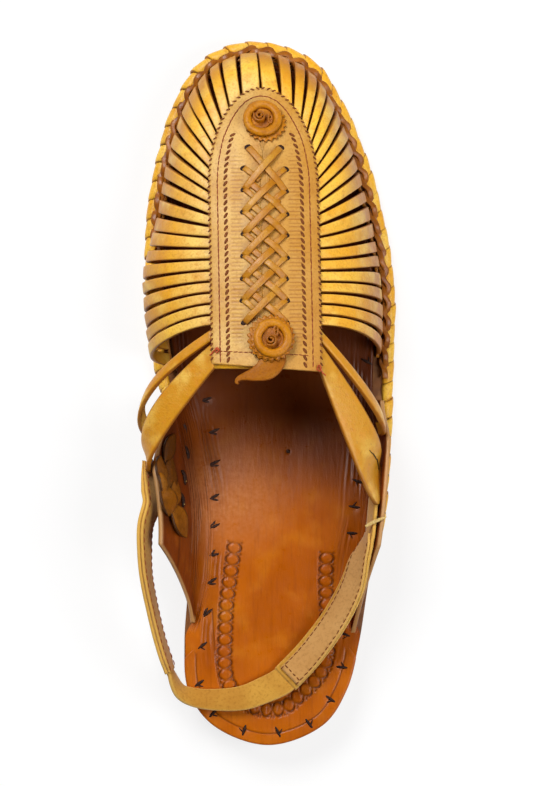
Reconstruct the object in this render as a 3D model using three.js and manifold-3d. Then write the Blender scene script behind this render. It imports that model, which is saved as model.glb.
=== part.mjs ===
// Closed-toe kolhapuri sandal for the right foot, in millimetres.
// X points to the outer (lateral) side of the foot, Y to the toe and Z up.
// The origin is on the floor, under the middle of the sandal.
import * as THREE from "three";
import Module from "manifold-3d";

const wasm = await Module();
wasm.setup();

// Clearance between leather pieces that lie on one another.
const GAP = 0.3;

// Sole: layers, arch and toe spring.
const OUTSOLE_THICK = 5;
const INSOLE_THICK = 3.5;
const HEEL_LIFT = 9;
const HEEL_BREAST = -60;
const HEEL_INSET = 1.2;
const ARCH_REAR = -56;
const ARCH_FRONT = 8;
const TOE_BREAK = 70;
const TOE_SPRING = 7;
const TOE_TIP = { across: -5, forward: 137 };
const HEEL_TIP = { across: 0.5, forward: -140 };

// Edge of the outsole, a row for each station along the foot.
const SOLE_EDGE = [
  { forward: -132, medial: -21.6, lateral: 22.4 },
  { forward: -118, medial: -31.4, lateral: 31.8 },
  { forward: -100, medial: -32.8, lateral: 36.6 },
  { forward: -80, medial: -31.6, lateral: 39.8 },
  { forward: -50, medial: -30.4, lateral: 44.2 },
  { forward: -20, medial: -34.4, lateral: 46.8 },
  { forward: 10, medial: -41.4, lateral: 47.8 },
  { forward: 40, medial: -45.2, lateral: 48.4 },
  { forward: 70, medial: -44.8, lateral: 43.8 },
  { forward: 95, medial: -40.4, lateral: 36.6 },
  { forward: 115, medial: -33.8, lateral: 27.6 },
  { forward: 130, medial: -23.8, lateral: 16.9 },
];

// Distances in from the outsole's edge to what stands on the outsole.
const UPPER_INSET = 3.6;
const EAR_INSET = 3.6;
const INSOLE_INSET = 5.3;
const INSOLE_FLUSH_FROM = -98.5;
const INSOLE_FLUSH_TO = -106;

// Upper: wall, central base and the line of its ridge.
const UPPER_THICK = 1.8;
const THROAT = 9.5;
const TIP_START = 80;
const TIP_END = 119;
const BASE_HALF = 20.4;
const BASE_CROWN = 3;
const FAN_CENTRE = 100;
const CENTRE_LINE = { across: -0.8, drift: -0.015 };
const RIDGE = [
  { forward: 0, height: 62.5 },
  { forward: 40, height: 55.5 },
  { forward: 70, height: 48.5 },
  { forward: 95, height: 40.5 },
  { forward: 110, height: 34.5 },
  { forward: 125, height: 27.5 },
];

// Strips of the cage: how many on a side, and where each row of the wall lies between panel and rim.
const STRIPS_A_SIDE = 21;
const STRIPS_FROM = 16.6;
const STRIP_SLIT = 0.5;
const STRIP_RIM_WIDTH = 5.2;
const STRIP_TOE_LESS = 0.3;
const STRIP_SWEEP = 0.45;
const FAN_BACK = { most: 0.102, late: 9 };
const STRAIGHT = { from: 50, full: 80, most: 0.85 };
const RIM_START = { medial: 9, lateral: 14 };
const BASE_ROWS = [0, 0.5, 1];
const CAGE_ROWS = [0.1, 0.25, 0.42, 0.6, 0.78, 0.955, 1];
const SHOULDER = { reach: 0.6, slope: 0.28, rise: 0.5 };
const BULGE = { toe: 5, lateral: 2, medial: 19, medialFrom: 78, medialTo: 42 };

// Edges of the strips behind the cage, which run back to the ears, a wide band and then a narrow
// strip: where each leaves the base, where it ends on the ear (forward station and share of the
// ear's height), and how far it bows out on the way. The medial ones end on the ear's outer face
// and the lateral ones on its inner face.
const REAR_STRIPS = {
  medial: {
    face: 1,
    sag: 0,
    endBow: 1,
    rise: 0.3,
    pairs: [
      [
        { from: 0, endAt: -28.5, endUp: 1, bow: 3.5 },
        { from: 10.4, endAt: -25, endUp: 0.84, bow: 15 },
      ],
      [
        { from: 11.2, endAt: -18, endUp: 0.97, bow: 15.6 },
        { from: 15.8, endAt: -13.5, endUp: 0.88, bow: 16 },
      ],
    ],
  },
  lateral: {
    face: -1,
    sag: 3,
    endBow: 1,
    rise: 0.5,
    pairs: [
      [
        { from: 0, endAt: -44, endUp: 0.93, bow: -2.5 },
        { from: 10.4, endAt: -25, endUp: 0.72, bow: 5 },
      ],
      [
        { from: 11.2, endAt: -17, endUp: 0.88, bow: 4 },
        { from: 15.8, endAt: -12, endUp: 0.78, bow: 4.6 },
      ],
    ],
  },
};

// Ears: flaps that rise from the outsole at the waist.
const EAR_THICK = 2;
const EARS = {
  medial: { rear: -91, corner: -60, shoulder: -30, front: -3, height: 30, lean: 16, face: 1 },
  lateral: { rear: -97, corner: -60, shoulder: -20, front: -3, height: 26, lean: 4.5, face: -1 },
};
const EAR_END_SHARE = 0.1;
const EAR_FRONT_SHARE = 0.5;
const EAR_CURVE = 1.25;
const EAR_STEPS = 16;
const EAR_ROWS = [0, 0.25, 0.5, 0.75, 1];

// Rim: brown ribbon on the outsole and plaited scales around its edge.
const RIBBON = { inset: 0.2, width: 1.5, height: 2.2, medialEnd: 62, lateralEnd: 6, steps: 48 };
const PLAIT = { scales: 62, width: 2.7, taper: 0.5, below: 3.6, above: 1.3, medialEnd: -16, lateralEnd: -52 };

// Overlay panel, braid, rosettes and tail on the vamp.
const PANEL_THICK = 1.4;
const PANEL_MARGIN = 0.8;
const PANEL_STEPS = 16;
const BRAID = { rows: 7, pitch: 8.45, rearRow: 35.8, leftHole: -9.7, rightHole: 7, run: 14, rise: 11.6 };
const THONG = { width: 2.7, thick: 1.2, hump: 1 };
const ROSETTE_THICK = 1.3;
const ROSETTE_TEETH = 22;
const ROSETTE_BITE = 0.9;
const COIL = { turns: 2.4, thick: 1.3, inner: 1.2, height: 4.2, fall: 1.4, steps: 44 };
const ROSETTES = [
  { name: "rosette_toe", across: -2.4, forward: 106.2, disc: 8.4, coil: 7.6, lift: 0 },
  { name: "rosette_throat", across: 0.8, forward: 20, disc: 9.5, coil: 7.6, lift: 1.7 },
];
const TAIL_THICK = 1.4;
const TAIL = [
  { across: 1.4, forward: 17.5, rise: 0, width: 9.5 },
  { across: 1.4, forward: 12.5, rise: 0, width: 10 },
  { across: -0.4, forward: 9.2, rise: 0.2, width: 8 },
  { across: -4.6, forward: 6.4, rise: 0.6, width: 5.6 },
  { across: -8.8, forward: 4.4, rise: 1.2, width: 3.4 },
  { across: -12, forward: 3.4, rise: 2.2, width: 1 },
];

// Slingback strap, a row for each fold. Tilt is 0 on edge and 90 with the inner face up.
const STRAP = { thick: 2.8, width: 12.5, heelThick: 1.7, heelWidth: 9.5, stepsARow: 3 };
const MEDIAL_ON_EAR = [
  { forward: -31, up: 0.86 },
  { forward: -36, up: 0.88 },
  { forward: -41, up: 0.9 },
];
const MEDIAL_RUN = [
  { across: -48.2, forward: -52, height: 39.4, tilt: 22 },
  { across: -48.6, forward: -62, height: 38, tilt: 18 },
  { across: -48, forward: -72, height: 35.8, tilt: 14 },
  { across: -45.6, forward: -85, height: 31.6, tilt: 12 },
  { across: -42.4, forward: -98.3, height: 27.6, tilt: 12 },
  { across: -38.6, forward: -110, height: 25.6, tilt: 14 },
];
const HEEL_RUN = [
  { across: -38.25, forward: -111, height: 25.4, tilt: 15 },
  { across: -34.4, forward: -118.4, height: 23, tilt: 45 },
  { across: -29, forward: -120.8, height: 21, tilt: 70 },
  { across: -20, forward: -121.8, height: 20.1, tilt: 76 },
  { across: -9.5, forward: -121, height: 20.1, tilt: 76 },
  { across: -1.4, forward: -118, height: 20.6, tilt: 74 },
  { across: 5.5, forward: -114.6, height: 21.3, tilt: 72 },
];
const LATERAL_RUN = [
  { across: 7, forward: -113.4, height: 21.9, tilt: 72 },
  { across: 16.6, forward: -103, height: 24, tilt: 66 },
  { across: 26.4, forward: -89.4, height: 27.4, tilt: 58 },
  { across: 33, forward: -76.3, height: 30.6, tilt: 50 },
  { across: 36, forward: -66, height: 32.4, tilt: 36 },
];
const LATERAL_ON_EAR = [
  { forward: -58, up: 0.7 },
  { forward: -52, up: 0.7 },
  { forward: -46, up: 0.7 },
];

const MATERIALS = {
  yellow: { color: 0xd9a441, roughness: 0.55 },
  pale: { color: 0xe6c486, roughness: 0.6 },
  tan: { color: 0xb0661f, roughness: 0.35 },
  brown: { color: 0x7a431a, roughness: 0.4 },
  raw: { color: 0x9c6a3a, roughness: 0.8 },
  suede: { color: 0xc39a55, roughness: 0.85 },
};

const UP = new THREE.Vector3(0, 0, 1);
const { lerp, smoothstep, degToRad, clamp } = THREE.MathUtils;
const point = (x, y, z = 0) => new THREE.Vector3(x, y, z);

// Smooth value of one column of a table at a station, by a cubic between its rows.
function column(rows, name, station) {
  const last = rows.length - 1;
  const at = clamp(station, rows[0].forward, rows[last].forward);
  const next = clamp(rows.findIndex((row) => row.forward >= at), 1, last);
  const slope = (i) => {
    const before = rows[Math.max(i - 1, 0)];
    const after = rows[Math.min(i + 1, last)];
    return (after[name] - before[name]) / (after.forward - before.forward);
  };
  const a = rows[next - 1];
  const b = rows[next];
  const span = b.forward - a.forward;
  const t = (at - a.forward) / span;
  const rise = a[name] + t * t * (3 - 2 * t) * (b[name] - a[name]);
  const lean = t * (1 - t) * ((1 - t) * slope(next - 1) - t * slope(next)) * span;
  return rise + lean;
}

// Closed geometry from loose triangles: shared corners are merged and the faces point out.
function closed(triangles) {
  const corners = new Map();
  const positions = [];
  const index = [];
  let volume = 0;
  const corner = (p) => {
    const key = [p.x, p.y, p.z].map((c) => Math.round(c * 2000)).join();
    if (!corners.has(key)) {
      corners.set(key, positions.length / 3);
      positions.push(p.x, p.y, p.z);
    }
    return corners.get(key);
  };
  for (const [a, b, c] of triangles) {
    const face = [corner(a), corner(b), corner(c)];
    if (new Set(face).size < 3) continue;
    index.push(...face);
    volume += a.dot(b.clone().cross(c));
  }
  if (volume < 0) index.reverse();
  const geometry = new THREE.BufferGeometry();
  geometry.setAttribute("position", new THREE.Float32BufferAttribute(positions, 3));
  geometry.setIndex(index);
  return geometry;
}

// Closed wall between two grids of points, [column][row]. A cell that keep refuses is a window,
// and an edge that sealed accepts meets its own mirror image and takes no side.
function wall(front, back, keep = () => true, sealed = () => false) {
  const triangles = [];
  const quad = (a, b, c, d) => triangles.push([a, b, c], [a, c, d]);
  const columns = front.length - 1;
  const rows = front[0].length - 1;
  const kept = (i, j) => i >= 0 && j >= 0 && i < columns && j < rows && keep(i, j);
  for (let i = 0; i < columns; i++) {
    for (let j = 0; j < rows; j++) {
      if (!kept(i, j)) continue;
      const ring = [[i, j], [i + 1, j], [i + 1, j + 1], [i, j + 1]];
      const beyond = [[i, j - 1], [i + 1, j], [i, j + 1], [i - 1, j]];
      quad(...ring.map(([c, r]) => front[c][r]));
      quad(...ring.map(([c, r]) => back[c][r]).reverse());
      ring.forEach(([c, r], side) => {
        const [nextC, nextR] = ring[(side + 1) % 4];
        if (kept(...beyond[side]) || sealed(i, j, side)) return;
        quad(front[nextC][nextR], front[c][r], back[c][r], back[nextC][nextR]);
      });
    }
  }
  return closed(triangles);
}

// Closed bar through a run of loops with the same number of points.
function loft(loops) {
  const triangles = [];
  const count = loops[0].length;
  for (let i = 0; i + 1 < loops.length; i++) {
    for (let j = 0; j < count; j++) {
      const k = (j + 1) % count;
      triangles.push([loops[i][j], loops[i][k], loops[i + 1][k]]);
      triangles.push([loops[i][j], loops[i + 1][k], loops[i + 1][j]]);
    }
  }
  const first = loops[0];
  const last = loops[loops.length - 1];
  for (let j = 1; j + 1 < count; j++) {
    triangles.push([first[0], first[j + 1], first[j]], [last[0], last[j], last[j + 1]]);
  }
  return closed(triangles);
}

// Union of closed geometries.
function join(geometries) {
  const solids = geometries.map((geometry) => new wasm.Manifold(new wasm.Mesh({
    numProp: 3,
    vertProperties: new Float32Array(geometry.attributes.position.array),
    triVerts: new Uint32Array(geometry.index.array),
  })));
  const mesh = solids.reduce((sum, solid) => sum.add(solid)).getMesh();
  const geometry = new THREE.BufferGeometry();
  geometry.setAttribute("position", new THREE.Float32BufferAttribute(mesh.vertProperties, 3));
  geometry.setIndex(new THREE.Uint32BufferAttribute(mesh.triVerts, 1));
  return geometry;
}

// Outline of the outsole, from the heel along the medial side to the toe and back.
const outline = new THREE.CatmullRomCurve3([
  point(HEEL_TIP.across, HEEL_TIP.forward),
  ...SOLE_EDGE.map((row) => point(row.medial, row.forward)),
  point(TOE_TIP.across, TOE_TIP.forward),
  ...SOLE_EDGE.map((row) => point(row.lateral, row.forward)).reverse(),
], true, "centripetal");
outline.arcLengthDivisions = 1200;
const TRACE = 1200;
const trace = Array.from({ length: TRACE + 1 }, (_, i) => outline.getPointAt(i / TRACE));
const toeShare = trace.reduce((best, p, i) => (p.y > trace[best].y ? i : best), 0) / TRACE;

// Share of the outline's length at a forward station of one side.
function edgeShare(forward, side) {
  const medial = side === "medial";
  const from = medial ? 0 : Math.round(toeShare * TRACE);
  const to = medial ? Math.round(toeShare * TRACE) : TRACE;
  for (let i = from; i < to; i++) {
    const a = trace[i].y - forward;
    const b = trace[i + 1].y - forward;
    if (a * b <= 0 && a !== b) return (i + a / (a - b)) / TRACE;
  }
  return toeShare;
}

// Direction into the sole at a share of the outline, and the point that lies inset from its edge.
function inward(share) {
  const along = outline.getTangentAt(clamp(share, 0, 1));
  return point(along.y, -along.x);
}
function rim(share, inset) {
  return outline.getPointAt(clamp(share, 0, 1)).addScaledVector(inward(share), inset);
}

// Heights of the sole's layers at a forward station.
function soleBottom(forward) {
  if (forward < ARCH_FRONT) return HEEL_LIFT * smoothstep(-forward, -ARCH_FRONT, -ARCH_REAR);
  const past = Math.max(forward - TOE_BREAK, 0) / (TOE_TIP.forward - TOE_BREAK);
  return TOE_SPRING * past * past;
}
const soleTop = (forward) => soleBottom(forward) + OUTSOLE_THICK;

// Flat layer with the sole's outline, between two heights, up to a front end if one is given.
function soleLayer(inset, bottom, top, front = Infinity) {
  const ring = Array.from({ length: 401 }, (_, i) => {
    const share = i / 400;
    return rim(share, inset(outline.getPointAt(share).y));
  });
  const toe = ring.reduce((best, p, i) => (p.y > ring[best].y ? i : best), 0);
  const heel = ring[0].y;
  const edges = [ring.slice(0, toe + 1), ring.slice(toe).reverse()];
  const across = (chain, forward) => {
    const next = clamp(chain.findIndex((p) => p.y >= forward), 1, chain.length - 1);
    const [a, b] = [chain[next - 1], chain[next]];
    return lerp(a.x, b.x, clamp((forward - a.y) / (b.y - a.y), 0, 1));
  };
  const end = Math.min(front, ring[toe].y);
  const steps = 44;
  const stations = Array.from({ length: steps + 1 }, (_, i) => (
    lerp(heel, ring[toe].y, (1 - Math.cos(Math.PI * i / steps)) / 2)
  )).filter((forward) => forward < end - 1);
  stations.push(end);
  const grid = (height) => stations.map((forward, i) => {
    const tip = i === 0 || (end < front && i === stations.length - 1);
    const sides = edges.map((chain) => across(chain, forward));
    const middle = (sides[0] + sides[1]) / 2;
    return sides.map((x) => point(tip ? middle : x, forward, height(forward)));
  });
  return wall(grid(top), grid(bottom));
}

// Central base of the upper: half width, middle line and height of the wall's middle surface.
const centre = (forward) => CENTRE_LINE.across + CENTRE_LINE.drift * forward;
const ridge = (forward) => column(RIDGE, "height", forward);
function baseHeight(x, forward) {
  const out = (x - centre(forward)) / BASE_HALF;
  return ridge(forward) - BASE_CROWN * out * out;
}
function onBase(x, forward, lift = 0) {
  const step = 0.05;
  const slopeX = (baseHeight(x + step, forward) - baseHeight(x - step, forward)) / (2 * step);
  const slopeY = (baseHeight(x, forward + step) - baseHeight(x, forward - step)) / (2 * step);
  const normal = point(-slopeX, -slopeY, 1).normalize();
  const at = point(x, forward, baseHeight(x, forward)).addScaledVector(normal, lift);
  return { at, normal };
}
const baseEdge = new THREE.Path();
baseEdge.moveTo(BASE_HALF, THROAT);
baseEdge.lineTo(BASE_HALF, TIP_START);
baseEdge.absellipse(0, TIP_START, BASE_HALF, TIP_END - TIP_START, 0, Math.PI / 2, false);
const baseEdgeLength = baseEdge.getLength();

// Ear: height at a station, and the point on its middle surface or off it.
function earShare(ear, forward) {
  const back = clamp((forward - ear.rear) / (ear.corner - ear.rear), 0, 1);
  const rear = lerp(EAR_END_SHARE, 1, Math.pow(back, EAR_CURVE));
  return rear * lerp(1, EAR_FRONT_SHARE, smoothstep(forward, ear.shoulder, ear.front));
}
function earAt(side, forward, up) {
  const ear = EARS[side];
  const share = edgeShare(forward, side);
  const tall = earShare(ear, forward) * up;
  const foot = rim(share, EAR_INSET);
  foot.addScaledVector(inward(share), -ear.lean * Math.pow(tall, EAR_CURVE));
  foot.z = soleTop(forward) + 2 * GAP + ear.height * tall;
  return foot;
}
function onEar(side, forward, up, lift = 0) {
  const step = 0.05;
  const along = earAt(side, forward + 1, up).sub(earAt(side, forward - 1, up));
  const rise = earAt(side, forward, up + step).sub(earAt(side, forward, up - step));
  const normal = side === "medial" ? rise.cross(along) : along.cross(rise);
  normal.normalize().negate();
  const outward = inward(edgeShare(forward, side)).negate();
  if (normal.dot(outward) < 0) normal.negate();
  return { at: earAt(side, forward, up).addScaledVector(normal, lift), normal };
}
function earSolid(side) {
  const ear = EARS[side];
  const skin = (lift) => Array.from({ length: EAR_STEPS + 1 }, (_, i) => {
    const forward = lerp(ear.rear, ear.front, i / EAR_STEPS);
    return EAR_ROWS.map((up) => onEar(side, forward, Math.max(up, 0.05), lift).at);
  });
  return wall(skin(EAR_THICK / 2), skin(-EAR_THICK / 2));
}

// Where an edge of a strip leaves the base, and its way off the base's edge there.
function stripStart(side, along) {
  const sign = side === "medial" ? -1 : 1;
  const edge = baseEdge.getPointAt(clamp(along / baseEdgeLength, 0, 1));
  const steep = Math.max(edge.y - TIP_START, 0) * Math.pow(BASE_HALF / (TIP_END - TIP_START), 2);
  const middle = Math.min(edge.y, FAN_CENTRE);
  return {
    at: onBase(centre(edge.y) + sign * edge.x, edge.y).at,
    off: point(sign * edge.x, steep).normalize(),
    foot: point(centre(middle), middle),
  };
}

// Edge of a strip over its shoulder and hip down to its end.
function stripCurve(start, shoulder, hip, end, rise) {
  const reach = Math.hypot(end.x - start.at.x, end.y - start.at.y);
  shoulder.z = start.at.z - SHOULDER.slope * SHOULDER.reach * reach;
  hip.z = end.z + rise * (start.at.z - end.z);
  return { start, foot: start.foot, curve: new THREE.CubicBezierCurve3(start.at, shoulder, hip, end) };
}

// Edge of a fanned strip. At the back it leaves square off the panel and sweeps back along the rim
// at its end, and at the front it runs straight.
function cageEdge(side, along, share) {
  const start = stripStart(side, along);
  const end = rim(share, UPPER_INSET);
  end.z = soleTop(end.y) + 3 * GAP;
  const fromToe = smoothstep(end.y, TIP_START, TIP_END);
  const full = smoothstep(-end.y, -BULGE.medialFrom, -BULGE.medialTo);
  const swell = side === "medial" ? lerp(BULGE.toe, BULGE.medial, full) : BULGE.lateral;
  const alongRim = outline.getTangentAt(clamp(share, 0, 1));
  const reach = Math.hypot(end.x - start.at.x, end.y - start.at.y);
  const sweep = (start.at.x - end.x) * alongRim.x + (start.at.y - end.y) * alongRim.y;
  const straight = STRAIGHT.most * smoothstep(end.y, STRAIGHT.from, STRAIGHT.full);
  const direct = point(end.x - start.at.x, end.y - start.at.y).normalize();
  const off = start.off.clone().lerp(direct, straight).normalize();
  const shoulder = start.at.clone().addScaledVector(off, SHOULDER.reach * reach);
  const hip = end.clone().addScaledVector(inward(share), -lerp(swell, BULGE.toe, fromToe));
  hip.addScaledVector(alongRim, STRIP_SWEEP * (1 - straight) * sweep);
  return stripCurve(start, shoulder, hip, end, SHOULDER.rise);
}

// Edge of a strip that runs back to an ear, bowed out on its way.
function rearEdge(side, row) {
  const { face, sag, endBow, rise } = REAR_STRIPS[side];
  const sign = side === "medial" ? -1 : 1;
  const start = stripStart(side, row.from);
  const end = onEar(side, row.endAt, row.endUp, face * (EAR_THICK / 2 + 2 * GAP + UPPER_THICK / 2)).at;
  const out = point(end.x - start.at.x, end.y - start.at.y);
  const reach = out.length();
  out.normalize();
  const aside = point(sign * Math.abs(out.y), sign * Math.sign(-out.y) * out.x).multiplyScalar(row.bow);
  const shoulder = start.at.clone().addScaledVector(out, SHOULDER.reach * reach).add(aside);
  const hip = end.clone().addScaledVector(out, sag).addScaledVector(aside, endBow);
  return stripCurve(start, shoulder, hip, end, rise);
}

// Run along the base's edge at a place in the fan. The front strips start further back than in an
// even fan, and the last ones at the toe are wider.
function fanAlong(place) {
  const back = FAN_BACK.most * place * (1 - Math.pow(place, FAN_BACK.late));
  return lerp(STRIPS_FROM, baseEdgeLength, place - back);
}

// Edges of every strip of one side, from the throat to the toe.
function stripsOf(side) {
  const strips = REAR_STRIPS[side].pairs.map((pair) => ({
    loose: true,
    edges: pair.map((row) => rearEdge(side, row)),
  }));
  const rimFrom = edgeShare(RIM_START[side], side);
  const rimLength = outline.getLength();
  const toward = side === "medial" ? 1 : -1;
  for (let i = 0; i < STRIPS_A_SIDE; i++) {
    const share = lerp(rimFrom, toeShare, (i + 0.5) / STRIPS_A_SIDE);
    const toe = smoothstep(i, STRIPS_A_SIDE - 6, STRIPS_A_SIDE - 1);
    const half = (STRIP_RIM_WIDTH - STRIP_TOE_LESS * toe) / 2;
    const edges = [-1, 1].map((way) => cageEdge(
      side,
      fanAlong((i + (way + 1) / 2) / STRIPS_A_SIDE) - way * STRIP_SLIT / 2,
      share + toward * way * half / rimLength,
    ));
    strips.push({ loose: false, edges });
  }
  return strips;
}

// The upper is one wall: its base, the strips that leave it and the margin that joins their ends.
function upperSolid() {
  const medial = stripsOf("medial");
  const lateral = stripsOf("lateral").reverse();
  lateral.forEach((strip) => strip.edges.reverse());
  const strips = [...medial, ...lateral];
  const lines = strips.flatMap((strip) => strip.edges);
  const partner = (i) => lines[i % 2 ? i - 1 : i + 1];
  const skin = (lift) => lines.map((line, i) => {
    const inner = BASE_ROWS.map((share) => {
      const x = lerp(line.foot.x, line.start.at.x, share);
      const y = lerp(line.foot.y, line.start.at.y, share);
      return onBase(x, y, lift).at;
    });
    const outer = CAGE_ROWS.map((share) => {
      const at = line.curve.getPoint(share);
      const across = partner(i).curve.getPoint(share).sub(at);
      const normal = line.curve.getTangent(share).cross(across).normalize();
      if (i % 2) normal.negate();
      const outwards = point(at.x - centre(at.y), at.y > FAN_CENTRE ? at.y - FAN_CENTRE : 0, 20);
      if (normal.dot(outwards) < 0) normal.negate();
      return at.addScaledVector(normal, lift);
    });
    return [...inner, ...outer];
  });
  const baseCells = BASE_ROWS.length - 1;
  const marginCell = baseCells + CAGE_ROWS.length - 1;
  const keep = (i, j) => {
    if (i % 2 === 0 || j < baseCells) return true;
    const [before, after] = [strips[(i - 1) / 2], strips[(i + 1) / 2]];
    return j === marginCell && !before.loose && !after.loose;
  };
  const sealed = (i, j, side) => j === 0 && side === 0;
  return wall(skin(UPPER_THICK / 2), skin(-UPPER_THICK / 2), keep, sealed);
}

// Overlay panel that follows the base, with the same round toe end.
const PANEL_FLOOR = UPPER_THICK / 2 + GAP;
const PANEL_FACE = PANEL_FLOOR + PANEL_THICK;
function panelHalf(forward) {
  const past = Math.max(forward - TIP_START, 0) / (TIP_END + PANEL_MARGIN - TIP_START);
  return (BASE_HALF + PANEL_MARGIN) * Math.sqrt(Math.max(1 - past * past, 0));
}
function panelSolid() {
  const far = TIP_END + PANEL_MARGIN;
  const shares = [-1, -0.55, 0, 0.55, 1];
  const skin = (lift) => Array.from({ length: PANEL_STEPS + 1 }, (_, i) => {
    const forward = lerp(THROAT, far, Math.sin(Math.PI * i / PANEL_STEPS / 2));
    const half = i === PANEL_STEPS ? 0 : panelHalf(forward);
    return shares.map((share) => onBase(centre(forward) + share * half, forward, lift).at);
  });
  return wall(skin(PANEL_FACE), skin(PANEL_FLOOR));
}

// Braid: two thongs from every pair of holes, each climbing over the next, joined where they cross.
function thong(hole, forward, way, hump) {
  const shares = [0, 0.3, 0.58, 0.85, 1];
  const humps = [0, 0, hump, hump * 0.5, 0];
  const along = point(way * BRAID.run, BRAID.rise).normalize();
  return loft(shares.map((share, i) => {
    const x = hole + way * BRAID.run * share;
    const y = forward + BRAID.rise * share;
    const low = PANEL_FACE + GAP;
    const high = low + THONG.thick + humps[i];
    const half = THONG.width / 2;
    const corner = (side, lift) => onBase(x - side * half * along.y, y + side * half * along.x, lift).at;
    return [corner(-1, low), corner(1, low), corner(1, high), corner(-1, high)];
  }));
}
function braidSolid() {
  const thongs = [];
  for (let i = 0; i < BRAID.rows; i++) {
    const forward = BRAID.rearRow + i * BRAID.pitch;
    thongs.push(thong(BRAID.rightHole, forward, -1, 0));
    thongs.push(thong(BRAID.leftHole, forward, 1, THONG.hump));
  }
  return join(thongs);
}

// Rosette: a serrated disc with a strip coiled up on it, its turns joined at the foot.
function rosetteSolid(row) {
  const teeth = Array.from({ length: 2 * ROSETTE_TEETH }, (_, i) => {
    const angle = Math.PI * i / ROSETTE_TEETH;
    const radius = row.disc - (i % 2) * ROSETTE_BITE;
    return new THREE.Vector2(radius * Math.cos(angle), radius * Math.sin(angle));
  });
  const disc = { depth: ROSETTE_THICK, bevelEnabled: false };
  const flat = new THREE.ExtrudeGeometry(new THREE.Shape(teeth), disc);
  const corners = flat.attributes.position;
  const faces = Array.from({ length: corners.count / 3 }, (_, face) => [0, 1, 2].map((k) => (
    new THREE.Vector3().fromBufferAttribute(corners, 3 * face + k)
  )));
  const outer = row.coil - COIL.thick / 2;
  const coil = Array.from({ length: COIL.steps + 1 }, (_, i) => {
    const share = i / COIL.steps;
    const angle = 2 * Math.PI * COIL.turns * share;
    const radius = lerp(COIL.inner, outer, share);
    const top = ROSETTE_THICK + COIL.height - COIL.fall * share;
    const corner = (out, z) => point((radius + out) * Math.cos(angle), (radius + out) * Math.sin(angle), z);
    const half = COIL.thick / 2;
    const foot = ROSETTE_THICK / 2;
    return [corner(-half, foot), corner(half, foot), corner(half, top), corner(-half, top)];
  });
  return join([closed(faces), loft(coil)]);
}

// Tail: a pointed tab that follows the panel and curls off it at the throat.
function tailSolid() {
  const path = new THREE.CatmullRomCurve3(TAIL.map((row) => point(row.across, row.forward)));
  const steps = 10;
  return loft(Array.from({ length: steps + 1 }, (_, i) => {
    const share = i / steps;
    const at = path.getPoint(share);
    const along = path.getTangent(share);
    const place = share * (TAIL.length - 1);
    const row = TAIL[Math.min(Math.floor(place), TAIL.length - 2)];
    const next = TAIL[Math.min(Math.floor(place), TAIL.length - 2) + 1];
    const part = place - TAIL.indexOf(row);
    const half = lerp(row.width, next.width, part) / 2;
    const low = PANEL_FACE + GAP + lerp(row.rise, next.rise, part);
    const corner = (side, lift) => {
      return onBase(at.x - side * half * along.y, at.y + side * half * along.x, lift).at;
    };
    return [
      corner(-1, low), corner(1, low), corner(1, low + TAIL_THICK), corner(-1, low + TAIL_THICK),
    ];
  }));
}

// Rim ribbon on the outsole, and the plait of overlapping scales around the outsole's edge.
function ribbonSolid() {
  const from = edgeShare(RIBBON.medialEnd, "medial");
  const to = edgeShare(RIBBON.lateralEnd, "lateral");
  return loft(Array.from({ length: RIBBON.steps + 1 }, (_, i) => {
    const share = lerp(from, to, i / RIBBON.steps);
    const corner = (inset, up) => {
      const at = rim(share, inset);
      return at.setZ(soleTop(at.y) + up);
    };
    const far = RIBBON.inset + RIBBON.width;
    const top = GAP + RIBBON.height;
    return [corner(RIBBON.inset, GAP), corner(far, GAP), corner(far, top), corner(RIBBON.inset, top)];
  }));
}
function plaitSolid() {
  const from = edgeShare(PLAIT.medialEnd, "medial");
  const to = edgeShare(PLAIT.lateralEnd, "lateral");
  const loops = [];
  const loop = (share, full) => {
    const wide = PLAIT.width * full;
    const corner = (out, up) => {
      const at = rim(share, -GAP - out);
      return at.setZ(soleTop(rim(share, 0).y) + up);
    };
    const top = PLAIT.above * full;
    return [
      corner(0, -PLAIT.below * full), corner(0, top), corner(wide * 0.6, top * 0.8),
      corner(wide, -PLAIT.below * 0.35), corner(wide * 0.6, -PLAIT.below * full),
    ];
  };
  for (let i = 0; i < PLAIT.scales; i++) {
    const start = lerp(from, to, i / PLAIT.scales);
    const end = lerp(from, to, (i + 0.92) / PLAIT.scales);
    loops.push(loop(start, 1), loop(end, PLAIT.taper));
  }
  return loft(loops);
}

// Strap: a flat bar through rows with a place and a tilt.
function strapSolid(rows, width, thick) {
  const path = new THREE.CatmullRomCurve3(rows.map((row) => row.at), false, "centripetal");
  const steps = STRAP.stepsARow * (rows.length - 1);
  return loft(Array.from({ length: steps + 1 }, (_, i) => {
    const share = i / steps;
    const place = share * (rows.length - 1);
    const before = Math.min(Math.floor(place), rows.length - 2);
    const tilt = degToRad(lerp(rows[before].tilt, rows[before + 1].tilt, place - before));
    const at = path.getPoint(share);
    const along = path.getTangent(share);
    const outward = along.clone().cross(UP).normalize();
    const upright = outward.clone().cross(along).normalize();
    const tall = upright.multiplyScalar(Math.cos(tilt)).addScaledVector(outward, Math.sin(tilt));
    const face = tall.clone().cross(along).normalize();
    const corner = (up, out) => {
      return at.clone().addScaledVector(tall, up * width / 2).addScaledVector(face, out * thick / 2);
    };
    return [corner(-1, -1), corner(1, -1), corner(1, 1), corner(-1, 1)];
  }));
}
const freeRow = (row) => ({ at: point(row.across, row.forward, row.height), tilt: row.tilt });
function earRow(side, row) {
  const ear = EARS[side];
  const seat = onEar(side, row.forward, row.up, ear.face * (EAR_THICK / 2 + 2 * GAP + STRAP.thick / 2));
  const tilt = Math.asin(clamp(-seat.normal.z, -1, 1));
  return { at: seat.at, tilt: THREE.MathUtils.radToDeg(tilt) };
}

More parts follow.
